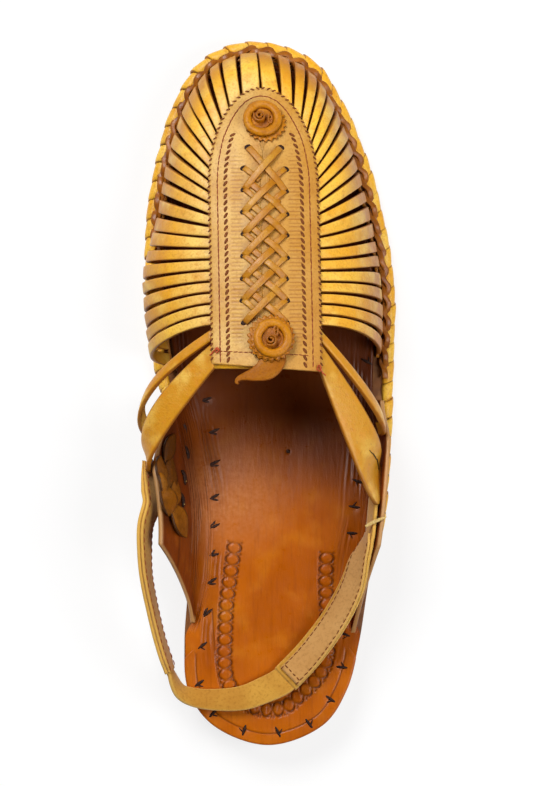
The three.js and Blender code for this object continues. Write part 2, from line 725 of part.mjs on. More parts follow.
const sandal = new THREE.Group();
function add(name, geometry, look) {
  geometry.computeVertexNormals();
  const mesh = new THREE.Mesh(geometry, new THREE.MeshStandardMaterial({ metalness: 0, ...MATERIALS[look] }));
  mesh.name = name;
  sandal.add(mesh);
  return mesh;
}

const insoleInset = (forward) => INSOLE_INSET * smoothstep(forward, INSOLE_FLUSH_TO, INSOLE_FLUSH_FROM);
add("outsole", soleLayer(() => 0, soleBottom, soleTop), "raw");
add("heel", soleLayer(() => HEEL_INSET, () => 0, () => HEEL_LIFT - GAP, HEEL_BREAST), "raw");
add("insole", soleLayer(
  insoleInset,
  (forward) => soleTop(forward) + GAP,
  (forward) => soleTop(forward) + INSOLE_THICK,
), "tan");
add("upper", upperSolid(), "yellow");
add("vamp_panel", panelSolid(), "pale");
add("braid", braidSolid(), "yellow");
for (const row of ROSETTES) {
  const seat = onBase(row.across, row.forward, PANEL_FACE + GAP + row.lift);
  const rosette = add(row.name, rosetteSolid(row), "yellow");
  rosette.position.copy(seat.at);
  rosette.quaternion.setFromUnitVectors(UP, seat.normal);
}
add("throat_tail", tailSolid(), "suede");
add("rim_ribbon", ribbonSolid(), "brown");
add("edge_plait", plaitSolid(), "yellow");
add("ear_medial", earSolid("medial"), "tan");
add("ear_lateral", earSolid("lateral"), "tan");
const medialRows = [...MEDIAL_ON_EAR.map((row) => earRow("medial", row)), ...MEDIAL_RUN.map(freeRow)];
const lateralRows = [...LATERAL_RUN.map(freeRow), ...LATERAL_ON_EAR.map((row) => earRow("lateral", row))];
add("strap_medial", strapSolid(medialRows, STRAP.width, STRAP.thick), "suede");
add("strap_heel", strapSolid(HEEL_RUN.map(freeRow), STRAP.heelWidth, STRAP.heelThick), "suede");
add("strap_lateral", strapSolid(lateralRows, STRAP.width, STRAP.thick), "pale");

// The middle of the sandal's box lies over the origin.
sandal.updateMatrixWorld(true);
const middle = new THREE.Box3().setFromObject(sandal, true).getCenter(new THREE.Vector3());
sandal.position.set(-middle.x, -middle.y, 0);

export default sandal;
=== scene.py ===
# Closed-toe kolhapuri sandal for the right foot: leather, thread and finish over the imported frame.
import math

import bmesh
import bpy
import numpy as np
from mathutils import Matrix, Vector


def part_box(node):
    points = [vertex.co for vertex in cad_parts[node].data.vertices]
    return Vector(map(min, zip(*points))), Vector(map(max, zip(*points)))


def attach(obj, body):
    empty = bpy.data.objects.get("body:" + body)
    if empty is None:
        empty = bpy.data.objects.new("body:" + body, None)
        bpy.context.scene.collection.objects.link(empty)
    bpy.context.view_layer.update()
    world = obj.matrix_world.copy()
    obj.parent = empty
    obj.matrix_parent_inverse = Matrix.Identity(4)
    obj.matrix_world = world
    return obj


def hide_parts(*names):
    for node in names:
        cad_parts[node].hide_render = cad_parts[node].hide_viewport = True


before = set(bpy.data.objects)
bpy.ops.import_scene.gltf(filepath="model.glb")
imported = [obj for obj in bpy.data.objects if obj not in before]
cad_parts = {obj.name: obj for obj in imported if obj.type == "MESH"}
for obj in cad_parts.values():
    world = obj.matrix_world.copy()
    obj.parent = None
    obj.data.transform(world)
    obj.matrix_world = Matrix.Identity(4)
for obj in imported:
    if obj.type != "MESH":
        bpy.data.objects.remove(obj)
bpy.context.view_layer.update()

MM = 0.001
TURN = 2 * math.pi
SIDES = ("medial", "lateral")
SIGN = {"medial": -1, "lateral": 1}

# Points of a piece closer than this many millimetres are joined.
WELD = 0.004
LAID_WELD = 0.0005

# Sole, in millimetres: layers, arch, toe spring and the edge of the outsole.
GAP = 0.3
OUTSOLE_THICK = 5
OUTSOLE_ROUND = 0.9
INSOLE_THICK = 3.5
INSOLE_ROUND = 0.8
HEEL_LIFT = 9
HEEL_BREAST = -60
HEEL_INSET = 1.2
HEEL_SEAMS = (1 / 3, 2 / 3)
ARCH_REAR = -56
ARCH_FRONT = 8
TOE_BREAK = 70
TOE_SPRING = 7
TOE_TIP = (-5, 137)
HEEL_TIP = (0.5, -140)
SOLE_EDGE = [
    # forward, medial, lateral
    (-132, -21.6, 22.4),
    (-118, -31.4, 31.8),
    (-100, -32.8, 36.6),
    (-80, -31.6, 39.8),
    (-50, -30.4, 44.2),
    (-20, -34.4, 46.8),
    (10, -41.4, 47.8),
    (40, -45.2, 48.4),
    (70, -44.8, 43.8),
    (95, -40.4, 36.6),
    (115, -33.8, 27.6),
    (130, -23.8, 16.9),
]
UPPER_INSET = 3.6
EAR_INSET = 3.6
INSOLE_INSET = 5.3
INSOLE_FLUSH_FROM = -98.5
INSOLE_FLUSH_TO = -106

# Upper: wall, base, ridge and the strips of the cage.
UPPER_THICK = 1.8
THROAT = 9.5
CENTRE_AT = -0.8
CENTRE_SLOPE = -0.015
TIP_START = 80
TIP_END = 119
BASE_HALF = 20.4
BASE_CROWN = 3
FAN_CENTRE = 100
RIDGE = [(0, 62.5), (40, 55.5), (70, 48.5), (95, 40.5), (110, 34.5), (125, 27.5)]
STRIPS_A_SIDE = 21
STRIPS_FROM = 16.6
STRIP_SLIT = 0.5
STRIP_RIM_WIDTH = 5.2
STRIP_TOE_LESS = 0.3
STRIP_FRONT_MORE = 0.5
TOE_WIDTHS = {"medial": (1.0, 1.3, 1.42), "lateral": (0.95, 0.98, 0.98)}
STRIP_SWEEP = 0.45
STRIP_WIDTH_LUCK = (0.84, 1.1)
STRIP_SWAY = 0.6
STRIP_ROLL = 0.5
STRIP_WAVE = 0.25
STRIP_CLEAR = 0.16
STRIP_CROWN = 0.1
TOE_STRIPS = 6
WIDER_FROM = 34
WIDER_FULL = 60
# Painted highlight near the base and painted shade towards the rim of the fanned strips, for each side.
PAINTED_LIGHT_AT_BASE = {"medial": 0.8, "lateral": 0.15}
PAINTED_LIGHT_RUN = 14
PAINTED_SHADE_AT_RIM = {"medial": 0.75, "lateral": 1.0}
PAINTED_SHADE_RUN = (0.2, 0.7)
MARGIN_HEIGHT = 1.5
MARGIN_HALF = 0.8
MARGIN_THICK = 1.2
FAN_BACK = 0.102
FAN_LATE = 9
STRAIGHT_FROM = 50
STRAIGHT_FULL = 80
STRAIGHT_MOST = 0.85
RIM_START = {"medial": 9, "lateral": 14}
SHOULDER_REACH = 0.6
SHOULDER_SLOPE = 0.28
HIP_RISE = 0.5
BULGE_TOE = 5
BULGE_LATERAL = 2
BULGE_MEDIAL = 19
BULGE_FROM = 78
BULGE_FULL = 42
REAR_STRIPS = {
    # The ear's face that they end on, the hip's overshoot, bow and rise, and for both edges of the band
    # and of the narrow strip: where they leave the base, end on the ear and share its height, and their bow.
    "medial": dict(face=1, sag=0, end_bow=1, rise=0.3, pairs=[
        ((0, -28.5, 1, 3.5), (10.4, -25, 0.84, 15)),
        ((11.2, -18, 0.97, 15.6), (15.8, -13.5, 0.88, 16)),
    ]),
    "lateral": dict(face=-1, sag=3, end_bow=1, rise=0.5, pairs=[
        ((0, -44, 0.93, -2.5), (10.4, -25, 0.72, 5)),
        ((11.2, -17, 0.88, 4), (15.8, -12, 0.78, 4.6)),
    ]),
}
BAND_CROWN = 0.25
BAND_DEEP = -0.6

# Both ends of the cut in the lateral band.
BAND_SLIT = [(38.4, -22), (42.6, -30.4)]
SLIT_HALF = 0.26
SLIT_LIFT = 0.36

# Ears at the waist.
EAR_THICK = 2
EAR_HALF = EAR_THICK / 2
EARS = {
    "medial": dict(rear=-91, corner=-60, shoulder=-30, front=-3, height=30, lean=16, face=1),
    "lateral": dict(rear=-97, corner=-60, shoulder=-20, front=-3, height=26, lean=4.5, face=-1),
}
EAR_END_SHARE = 0.1
EAR_FRONT_SHARE = 0.5
EAR_CURVE = 1.25
BEND_RISE = {"medial": 10, "lateral": 5}
BEND_REAR = -105.5
LEAF_THICK = 1.1
EAR_KNOTS = [(-14.7, 0.24), (-24.2, 0.26), (-33.4, 0.42), (-42.3, 0.53)]
WOVEN_LEAVES = [
    # rows of forward and share of the ear's height, width, rise off the ear, tone
    ([(-16, 0.7), (-21, 0.79), (-26.5, 0.86)], 7, 0.3, 0.1),
    ([(-25, 0.7), (-32, 0.79), (-39.5, 0.86)], 10, 0.4, 0.15),
    ([(-23.5, 0.97), (-29.2, 0.96), (-35.5, 0.93)], 8, 0.9, 0.35),
    ([(-33.5, 0.66), (-39, 0.74), (-45, 0.8)], 8, 0.7, 0.6),
    ([(-43, 0.84), (-48.5, 0.73), (-57, 0.53)], 11, 1.0, 0.8),
    ([(-34.6, 0.97), (-41, 0.93), (-48, 0.9)], 12, 1.7, 0.75),
    ([(-28.5, 1.0), (-34, 1.0), (-40, 0.98)], 5, 1.9, 1.0),
]

# Overlay panel and what lies on it.
PANEL_MARGIN = 0.8
PANEL_FLOOR = UPPER_THICK / 2 + GAP
PANEL_FACE = PANEL_FLOOR + 1.4
EDGE_DROP = 0.55
PINK_PITCH = 2.15
PINK_DEPTH = 0.75
PINK_REACH = 0.9
COMB_PITCH = 1.55
COMB_DEPTH = 0.3
COMB_MEDIAL = ((-15.2, -14.4), (-10.4, -9.8))
COMB_LATERAL = ((7.6, 8.2), (12.8, 13.6))
COMB_RUN = ((18, 22), (88, 98))
THROAT_SEAM = 15
THROAT_SLANT = -0.075
THROAT_MIDDLE = -0.9
SLANT_RUN = 14
THROAT_KNOTS = [(-19.6, 15.2, -1), (18.6, 10.4, 1)]
KNOT_TURNS = 1.7
BRAID_ROWS = [27.4 + 8.6 * i for i in range(8)]
BRAID_LAST = 6
THONG_WIDTH = 2.8
THONGS = {
    # A thong's hole in each row, its reach to its end and its lifts on the way, then those of the last one.
    1: dict(
        hole=(-9.4, 0), reach=(12.8, 13.2), lifts=(-0.8, 0.6, 1.0, 1.45, 1.5, 1.2, 0.2, -0.3),
        last_end=(4.3, 95.4), last_lifts=(-0.8, 0.6, 1.1, 1.5, 1.3, 0.6, -0.4),
    ),
    -1: dict(
        hole=(6.2, -0.5), reach=(-13.6, 12.4), lifts=(-0.8, 0.5, 1.3, 1.2, 0.2, 0.0, 0.0, -0.2),
        last_end=(-7.6, 95.6), last_lifts=(-0.8, 0.5, 1.0, 0.3, 0.2, 0.3, -0.5),
    ),
}
STUB_LIFTS = (-0.7, 0.1, 0.0, -0.1, -0.1)
TOP_HOLES = [(-7.9, 95.9, 1), (4.7, 95.7, -1)]
BRAID_NAILS = [(-0.9, 90.2), (1.3, 29.1)]
ROSETTES = [
    # name, across, forward, disc, coil, lift, slip of the lower disc, turn of the curls
    ("rosette_toe", -2.4, 106.2, 8.4, 7.8, 0, (1.3, -1.1), 0.0),
    ("rosette_throat", 0.9, 20.2, 9.6, 7.7, 1.7, (-0.4, 0.3), 1.3),
]
TEETH = 22
TOOTH_DEPTH = 1.1
DISC_RINGS = [
    # inset, height, wear
    (1.2, 0.05, 0.9), (0.0, 0.1, 1.0), (0.0, 0.55, 1.0), (0.25, 0.72, 0.9), (1.6, 0.8, 0.8),
]
COIL_SECTION = [
    # reach, height, wear
    (4.1, 1.6, 0.95), (4.4, 2.8, 0.9), (5.1, 3.3, 0.4), (6.2, 3.4, 0.2),
    (7.2, 3.0, 0.5), (7.6, 2.2, 0.95), (7.4, 1.5, 1.0), (5.4, 1.5, 1.0),
]
CURLS = [
    # heading, reach, first and last size, turns, height, width, length
    (2.7, 1.0, 2.3, 0.5, 1.7, 2.9, 1.0, 1.0),
    (-0.2, 3.1, 1.2, 1.1, 0.97, 1.7, 0.6, 1.5),
    (4.0, 0.3, 3.7, 3.4, 0.36, 1.2, 1.0, 1.0),
]
TAIL_CURL = 18
TAIL = [
    # across, forward, rise, width
    (1.4, 17.5, 0, 9.5),
    (1.0, 12.3, 0, 10.4),
    (-1.1, 8.9, 0.2, 9.4),
    (-5.2, 6.7, 0.6, 6),
    (-9, 5.6, 1.2, 3.2),
    (-11.2, 4.6, 1.8, 2),
    (-11.9, 3.4, 2.2, 1.4),
    (-11.4, 2.5, 2.4, 0.6),
]

# Rim: runs of the ribbon and the lacing, from the medial to the lateral side.
RIBBON_RUN = (62, 6)
RIBBON_INSET = 0.9
RIBBON_HEIGHT = 1.55
RIBBON_WAVE = 6.6
RIBBON_TWIST = 15
STRAND_OFF = 0.82
STRAND_HALF = 1.2
STRAND_THICK = 1.3
LACING_RUN = (-16, -52)
SCALES = 52
SCALE_LAP = 1.22
SCALE_SLANT = 3.6
SCALE_THICK = 0.9

# Slingback strap: place and tilt of each fold, 0 on edge and 90 with the inner face up. On an ear, a row
# is the place along it, the share of its height and the rise off it.
STRAP_THICK = 2.8
SEAM_LIFT = 1.42
HEEL_STRAP_HALF = [(0, 3.6), (0.14, 3.4), (0.3, 3.9), (0.6, 5.0), (0.85, 5.7), (1, 5.7)]
OVERLAY_SHIFT = 0.9
OVERLAY_END = -55
FIBRE = [(38.4, -52.6, 38.6), (41, -51.2, 39.6), (44, -49.8, 40.8), (46.6, -48.8, 40.8)]
MEDIAL_ON_EAR = [(-26, 0.84, 2), (-31, 0.86, 1.9), (-36, 0.88, 1.9), (-41, 0.9, 1.8)]
MEDIAL_RUN = [
    (-48.2, -52, 39.4, 22),
    (-48.6, -62, 38, 18),
    (-48, -72, 35.8, 14),
    (-45.6, -85, 31.6, 12),
    (-42.4, -98.3, 27.6, 12),
    (-38.6, -110, 25.6, 14),
]
HEEL_RUN = [
    (-39.6, -107, 26.4, 13),
    (-38.25, -111, 25.4, 15),
    (-34.4, -118.4, 23, 45),
    (-29, -120.8, 21, 70),
    (-20, -121.8, 20.1, 76),
    (-9.5, -121, 20.1, 76),
    (-1.4, -118, 20.6, 74),
    (5.5, -114.6, 21.1, 72),
    (9.6, -111, 20.7, 71),
    (13, -107.2, 20.9, 69),
]
LATERAL_RUN = [
    (7, -113.4, 21.9, 72),
    (16.6, -103, 24, 66),
    (26.4, -89.4, 27.4, 58),
    (33, -76.3, 30.6, 50),
    (36, -66, 32.4, 36),
]
LATERAL_ON_EAR = [(-58, 0.7, 0), (-52, 0.7, 0), (-46, 0.68, 0), (-40, 0.62, -0.3)]

# Insole: run of the stamped chain, the thread marks with their turn, the scored line and the nail.
CHAIN = [
    (-13.1, -61.6), (-15, -75.1), (-16.1, -84), (-16.7, -97.8), (-16.9, -107.5), (-15.4, -115.3),
    (-9.5, -122.5), (-2.3, -125.6), (6.6, -125), (13, -120), (20, -113.1), (23.5, -106),
    (24.2, -95), (23.8, -85), (23.4, -75.4), (23.8, -65.7),
]
CHAIN_PITCH = 4.5
STAMP_REACH = 4.5
STAMP_RING = 2.1
STAMP_LONG = 0.76
STAMP_CUT = 0.34
STAMP_DOME = 0.14
STAMP_DEPTH = 0.8
THREAD_MARKS = [
    (-23.9, -2.4, 20), (-21, -15.1, 15), (-21, -27.8, 25), (-21, -41.2, 20), (-21, -53, 25),
    (-21, -64.3, 15), (-22.1, -74.7, 25), (-23.6, -87.4, 35), (-25.8, -100.4, 30), (-26.9, -115.3, 40),
    (-21.4, -127.2, 50), (-9.1, -134, 75), (4.3, -134.7, 115), (16.7, -131.4, 130), (25.2, -121.6, 145),
    (29.7, -109, 175), (31.2, -96, 160), (36.4, -35.2, -15), (34.9, -45.3, -10), (33.8, -55.7, -5),
    (40, 12.5, 150),
]
THREAD_DENT = 0.35
SCORE_INSET = 4.6
SCORE_DEEP = 0.3
WRINKLE_INSET = 9.0
WRINKLE_WIDE = 4.5
WRINKLE_DEEP = 0.3
UNEVEN = 0.12
NAIL_HOLE = (8.5, -23.3)
NAIL_DEEP = 0.8

# Studio, in metres.
FLOOR_REACH = 1.6
FLOOR_LEVEL = -0.0004
SKY_FADE = {"From Min": 0.55, "From Max": 0.95, "To Min": 0.95, "To Max": 0.16}
LAMPS = [
    # name, place, size, power
    ("key", (-0.45, 0.72, 1.1), 0.7, 17),
    ("fill", (0.75, -0.2, 1.0), 0.7, 9.5),
]
CAMERA_LENS = 300
CAMERA_SENSOR = 36
CAMERA_PLACE = (-0.052, -0.002, 2.62)
CAMERA_TARGET = (0.0, 0.0, 0.02)


def ramp(x, low, high):
    """Smooth rise from 0 at low to 1 at high."""
    t = np.clip((np.asarray(x, float) - low) / (high - low), 0, 1)
    return t * t * (3 - 2 * t)


def lerp(a, b, t):
    return a + (b - a) * t


def hump(x, width):
    """Smooth bump, 1 at 0 and gone at about twice its width."""
    return np.exp(-((x / width) ** 2))


def unit(v):
    return v / np.maximum(np.linalg.norm(v, axis=-1, keepdims=True), 1e-9)


def chance(seed):
    return np.random.default_rng(seed)


def run_length(path):
    """Length along a path up to each of its points."""
    return np.concatenate([[0], np.cumsum(np.linalg.norm(np.diff(path, axis=0), axis=1))])


def evenly(path, count):
    """Points at equal steps along a path."""
    far = run_length(path)
    at = np.linspace(0, far[-1], count)
    return np.stack([np.interp(at, far, path[:, k]) for k in range(path.shape[1])], 1)


def spline(points, per, closed=False):
    """Centripetal curve through points, with the same number of steps in each span."""
    pts = np.asarray(points, float)
    n = len(pts)
    t = np.linspace(0, 1, per, endpoint=False)[:, None]
    out = []
    for i in range(n if closed else n - 1):
        p1, p2 = pts[i], pts[(i + 1) % n]
        p0 = pts[i - 1] if closed or i else 2 * pts[0] - pts[1]
        p3 = pts[(i + 2) % n] if closed or i + 2 < n else 2 * pts[-1] - pts[-2]
        d0, d1, d2 = (
            max(np.linalg.norm(b - a) ** 0.5, 1e-4) for a, b in ((p0, p1), (p1, p2), (p2, p3))
        )
        m1 = ((p1 - p0) / d0 - (p2 - p0) / (d0 + d1) + (p2 - p1) / d1) * d1
        m2 = ((p2 - p1) / d1 - (p3 - p1) / (d1 + d2) + (p3 - p2) / d2) * d1
        out.append(
            (2 * t**3 - 3 * t**2 + 1) * p1
            + (t**3 - 2 * t**2 + t) * m1
            + (3 * t**2 - 2 * t**3) * p2
            + (t**3 - t**2) * m2
        )
    out.append((pts[0] if closed else pts[-1])[None])
    return np.concatenate(out)


def bezier(a, b, c, d, t):
    t = np.asarray(t)[:, None]
    return (1 - t) ** 3 * a + 3 * t * (1 - t) ** 2 * b + 3 * t * t * (1 - t) * c + t**3 * d


def waves(x, y, size, seed, count=6):
    """Soft unevenness over a surface, between about -1 and 1."""
    luck = chance(seed)
    total = np.zeros(np.broadcast(x, y).shape)
    for _ in range(count):
        angle = luck.uniform(0, TURN)
        rate = TURN / (size * luck.uniform(0.6, 1.6))
        total = total + np.sin(rate * (x * math.cos(angle) + y * math.sin(angle)) + luck.uniform(0, 6.3))
    return total / count**0.5


# Edge of the outsole, from the heel along the medial side to the toe and back.
EDGE = evenly(
    spline(
        [HEEL_TIP]
        + [(medial, forward) for forward, medial, _ in SOLE_EDGE]
        + [TOE_TIP]
        + [(lateral, forward) for forward, _, lateral in SOLE_EDGE][::-1],
        80,
        closed=True,
    ),
    2401,
)
EDGE_SHARE = np.linspace(0, 1, len(EDGE))
EDGE_LENGTH = run_length(EDGE)[-1]
EDGE_ALONG = np.roll(EDGE[:-1], -1, axis=0) - np.roll(EDGE[:-1], 1, axis=0)
EDGE_ALONG = unit(np.concatenate([EDGE_ALONG, EDGE_ALONG[:1]]))
EDGE_IN = np.stack([EDGE_ALONG[:, 1], -EDGE_ALONG[:, 0]], 1)
TOE = int(np.argmax(EDGE[:, 1]))


def edge_share(forward, side):
    """Share of the edge's run at a place along one side."""
    if side == "medial":
        return np.interp(forward, EDGE[: TOE + 1, 1], EDGE_SHARE[: TOE + 1])
    return np.interp(forward, EDGE[TOE:, 1][::-1], EDGE_SHARE[TOE:][::-1])


def at_share(table, share):
    """Row of a table of the edge at a share of its run."""
    return np.stack([np.interp(share, EDGE_SHARE, table[:, k]) for k in (0, 1)], -1)


def rim(share, inset):
    """Point inside the edge at a share of its run."""
    inset = np.asarray(inset, float)[..., None]
    return at_share(EDGE, share) + at_share(EDGE_IN, share) * inset


def sole_bottom(y):
    y = np.asarray(y, float)
    past = np.maximum(y - TOE_BREAK, 0) / (TOE_TIP[1] - TOE_BREAK)
    arch = HEEL_LIFT * ramp(-y, -ARCH_FRONT, -ARCH_REAR)
    return np.where(y < ARCH_FRONT, arch, TOE_SPRING * past * past)


def sole_top(y):
    return sole_bottom(y) + OUTSOLE_THICK


def on_sole(place, rise):
    """Points at a height over the top of the outsole."""
    return np.column_stack([place, sole_top(place[:, 1]) + rise])


def rim_run(medial_from, lateral_to, count):
    """Shares of the edge from a place on the medial side round the toe to one on the lateral side."""
    return np.linspace(edge_share(medial_from, "medial"), edge_share(lateral_to, "lateral"), count)


def inward_at(share):
    return np.column_stack([at_share(EDGE_IN, share), np.zeros(len(share))])


def insole_inset(y):
    """Inset of the insole, which comes out to the sole's edge at the heel."""
    return INSOLE_INSET * ramp(y, INSOLE_FLUSH_TO, INSOLE_FLUSH_FROM)


# Middle surface of the upper's base.
def table_curve(rows, steps):
    """A table's value at fine steps, by a cubic between its rows."""
    rows = np.asarray(rows, float)
    x, z = rows[:, 0], rows[:, 1]
    before = np.maximum(np.arange(len(x)) - 1, 0)
    after = np.minimum(np.arange(len(x)) + 1, len(x) - 1)
    slope = (z[after] - z[before]) / (x[after] - x[before])
    at = np.linspace(x[0], x[-1], steps)
    i = np.clip(np.searchsorted(x, at), 1, len(x) - 1)
    span = x[i] - x[i - 1]
    t = (at - x[i - 1]) / span
    rise = z[i - 1] + t * t * (3 - 2 * t) * (z[i] - z[i - 1])
    return at, rise + t * (1 - t) * ((1 - t) * slope[i - 1] - t * slope[i]) * span


RIDGE_AT, RIDGE_HEIGHT = table_curve(RIDGE, 1001)


def centre(y):
    """Middle line of the base."""
    return CENTRE_AT + CENTRE_SLOPE * np.asarray(y, float)


def base_height(x, y):
    out = (x - centre(y)) / BASE_HALF
    return np.interp(y, RIDGE_AT, RIDGE_HEIGHT) - BASE_CROWN * out * out


def on_base(x, y, lift=0.0):
    """Point over the base and the direction away from it."""
    x, y = np.broadcast_arrays(np.asarray(x, float), np.asarray(y, float))
    step = 0.3
    slope_x = (base_height(x + step, y) - base_height(x - step, y)) / (2 * step)
    slope_y = (base_height(x, y + step) - base_height(x, y - step)) / (2 * step)
    normal = unit(np.stack([-slope_x, -slope_y, np.ones_like(x)], -1))
    place = np.stack([x, y, base_height(x, y)], -1)
    return place + normal * np.asarray(lift, float)[..., None], normal


def base_outline(margin):
    """Half outline of the base from the throat to the toe, with its length from the throat."""
    angle = np.linspace(0, math.pi / 2, 120)
    half, tip = BASE_HALF + margin, TIP_END + margin - TIP_START
    bow = np.stack([half * np.cos(angle), TIP_START + tip * np.sin(angle)], 1)
    path = np.concatenate([[(half, THROAT)], bow])
    return path, run_length(path)


BASE_PATH, BASE_FAR = base_outline(0)
BASE_LENGTH = BASE_FAR[-1]


def base_edge(along):
    """Half width and place of the base's edge at a run from the throat."""
    return np.array([np.interp(along, BASE_FAR, BASE_PATH[:, k]) for k in (0, 1)])


# Middle surface of the ears.
def ear_share(ear, forward):
    """Share of an ear's full height at a place along it."""
    back = np.clip((forward - ear["rear"]) / (ear["corner"] - ear["rear"]), 0, 1)
    rear = lerp(EAR_END_SHARE, 1, back**EAR_CURVE)
    return rear * lerp(1, EAR_FRONT_SHARE, ramp(forward, ear["shoulder"], ear["front"]))


def ear_at(side, forward, up):
    """Point of an ear's middle surface."""
    ear = EARS[side]
    forward, up = np.broadcast_arrays(np.asarray(forward, float), np.asarray(up, float))
    share = edge_share(forward, side)
    tall = ear_share(ear, forward) * up
    foot = rim(share, EAR_INSET - ear["lean"] * np.maximum(tall, 0) ** EAR_CURVE)
    height = sole_top(forward) + 2 * GAP + ear["height"] * tall
    return np.concatenate([foot, height[..., None]], -1)


def on_ear(side, forward, up, lift=0.0):
    """Point over an ear's middle surface and the direction out of the sandal there."""
    forward, up = np.broadcast_arrays(np.asarray(forward, float), np.asarray(up, float))
    along = ear_at(side, forward + 1, up) - ear_at(side, forward - 1, up)
    rise = ear_at(side, forward, up + 0.05) - ear_at(side, forward, np.maximum(up - 0.05, 0))
    normal = unit(np.cross(along, rise))
    outward = -at_share(EDGE_IN, edge_share(forward, side))
    way = np.sign(np.sum(normal[..., :2] * outward, -1))[..., None]
    normal = normal * np.where(way == 0, 1, way)
    return ear_at(side, forward, up) + normal * np.asarray(lift, float)[..., None], normal


# Meshes: skins are gathered in a pile, with marks at each point that the finishes read. A skin is its
# points and faces, and the marks that come with it.
MARKS = ("tone", "edge", "along", "across", "mark")


def store_mark(mesh, name, values):
    mesh.attributes.new(name, "FLOAT", "POINT").data.foreach_set("value", values.astype(np.float32))


class Pile:
    """Skins that make up one piece."""

    def __init__(self):
        self.points = []
        self.faces = []
        self.marks = {name: [] for name in MARKS}
        self.count = 0

    def add(self, skin, **marks):
        points, faces, *own = skin
        points = np.asarray(points, float).reshape(-1, 3)
        marks = {**(own[0] if own else {}), **marks}
        self.points.append(points)
        self.faces += [tuple(i + self.count for i in face) for face in faces]
        for name in MARKS:
            value = np.asarray(marks.get(name, 0.0), float)
            self.marks[name].append(np.broadcast_to(value.reshape(-1), (len(points),)))
        self.count += len(points)

    def piece(self, name, material, slot, *nodes, weld=WELD):
        mesh = bpy.data.meshes.new(name)
        points = (np.concatenate(self.points) + SHIFT) * MM
        mesh.from_pydata(points.tolist(), [], self.faces)
        for mark in MARKS:
            values = np.concatenate(self.marks[mark])
            if np.any(values):
                store_mark(mesh, mark, values)
        if weld:
            weld_mesh(mesh, weld * MM)
        mesh.shade_smooth()
        finish_piece(mesh, material, slot, *nodes)


def weld_mesh(mesh, distance):
    """Join points that meet, and turn all faces outwards."""
    work = bmesh.new()
    work.from_mesh(mesh)
    bmesh.ops.remove_doubles(work, verts=work.verts, dist=distance)
    bmesh.ops.dissolve_degenerate(work, edges=work.edges, dist=distance / 4)
    bmesh.ops.recalc_face_normals(work, faces=work.faces)
    work.to_mesh(mesh)
    work.free()


def grid_faces(rows, columns, start=0, wrap=False):
    i = np.arange(rows - 1)[:, None]
    j = np.arange(columns if wrap else columns - 1)[None, :]
    k = (j + 1) % columns
    near, far = i * columns, (i + 1) * columns
    quads = np.stack([near + j, near + k, far + k, far + j], -1)
    return (quads.reshape(-1, 4) + start).tolist()


def facing_out(points, faces):
    """The faces of a closed skin, turned to point out of it."""
    quads = np.array([face for face in faces if len(face) == 4])
    a, b, c, d = ((points - points.mean(0))[quads[:, k]] for k in range(4))
    volume = (a * (np.cross(b, c) + np.cross(c, d))).sum()
    return faces if volume > 0 else [face[::-1] for face in faces]


def tube(loops):
    """Closed skin through a run of loops, with both ends filled."""
    loops = np.asarray(loops)
    rows, columns = loops.shape[:2]
    faces = grid_faces(rows, columns, wrap=True)
    faces.append(list(range(columns))[::-1])
    faces.append([(rows - 1) * columns + j for j in range(columns)])
    points = loops.reshape(-1, 3)
    return points, facing_out(points, faces)


def shell(front, back):
    """Closed skin of a sheet between its two faces."""
    rows, columns = front.shape[:2]
    count = rows * columns
    faces = grid_faces(rows, columns)
    faces += [face[::-1] for face in grid_faces(rows, columns, count)]
    border = (
        [(0, j) for j in range(columns)]
        + [(i, columns - 1) for i in range(1, rows)]
        + [(rows - 1, j) for j in range(columns - 2, -1, -1)]
        + [(i, 0) for i in range(rows - 2, 0, -1)]
    )
    ring = [i * columns + j for i, j in border]
    for a, b in zip(ring, ring[1:] + ring[:1]):
        faces.append([b, a, a + count, b + count])
    points = np.concatenate([front.reshape(-1, 3), back.reshape(-1, 3)])
    return points, facing_out(points, faces)


# Section of a cut strip of leather: across from -1 to 1, and from its back at -1 to its face at 1.
STRIP_SECTION = np.array([
    (-0.9, 1), (-0.55, 1), (0, 1), (0.55, 1), (0.9, 1), (0.98, 0.7), (1, 0), (0.98, -0.7),
    (0.9, -1), (0, -1), (-0.9, -1), (-0.98, -0.7), (-1, 0), (-0.98, 0.7),
])


def band(middle, across, face, half, thick, crown=0.0):
    """Strip of leather along a run of points, domed by its crown."""
    middle, across, face = (np.asarray(v, float) for v in (middle, across, face))
    count = len(middle)
    half, thick, crown = (np.broadcast_to(np.asarray(v, float), (count,)) for v in (half, thick, crown))
    u, v = STRIP_SECTION[:, 0], STRIP_SECTION[:, 1]
    dome = crown[:, None] * (1 - u * u)[None, :]
    loops = (
        middle[:, None]
        + across[:, None] * (half[:, None] * u)[..., None]
        + face[:, None] * (thick[:, None] / 2 * v + dome)[..., None]
    )
    points, faces = tube(loops)
    far = run_length(middle)
    marks = dict(
        edge=np.tile(np.abs(u), count),
        along=np.repeat(far, len(u)),
        across=(half[:, None] * u).reshape(-1),
    )
    return points, faces, marks


def lying(place, face):
    """A run of points, with the way across a strip that lies on a surface there and the strip's own face."""
    along = unit(np.gradient(place, axis=0))
    across = unit(np.cross(face, along))
    return place, across, unit(np.cross(along, across))


# Finishes.
NOISE_MIDDLE = (0.3, 0.7)
NOISE_ROUGHNESS = 0.55

# Painted sheen on the insole: the scale that makes it a circle of radius 1, and its middle at that scale.
SHEEN_SCALE = (33, 38, 0)
SHEEN_CENTRE = (-0.5, -1.65, 0)


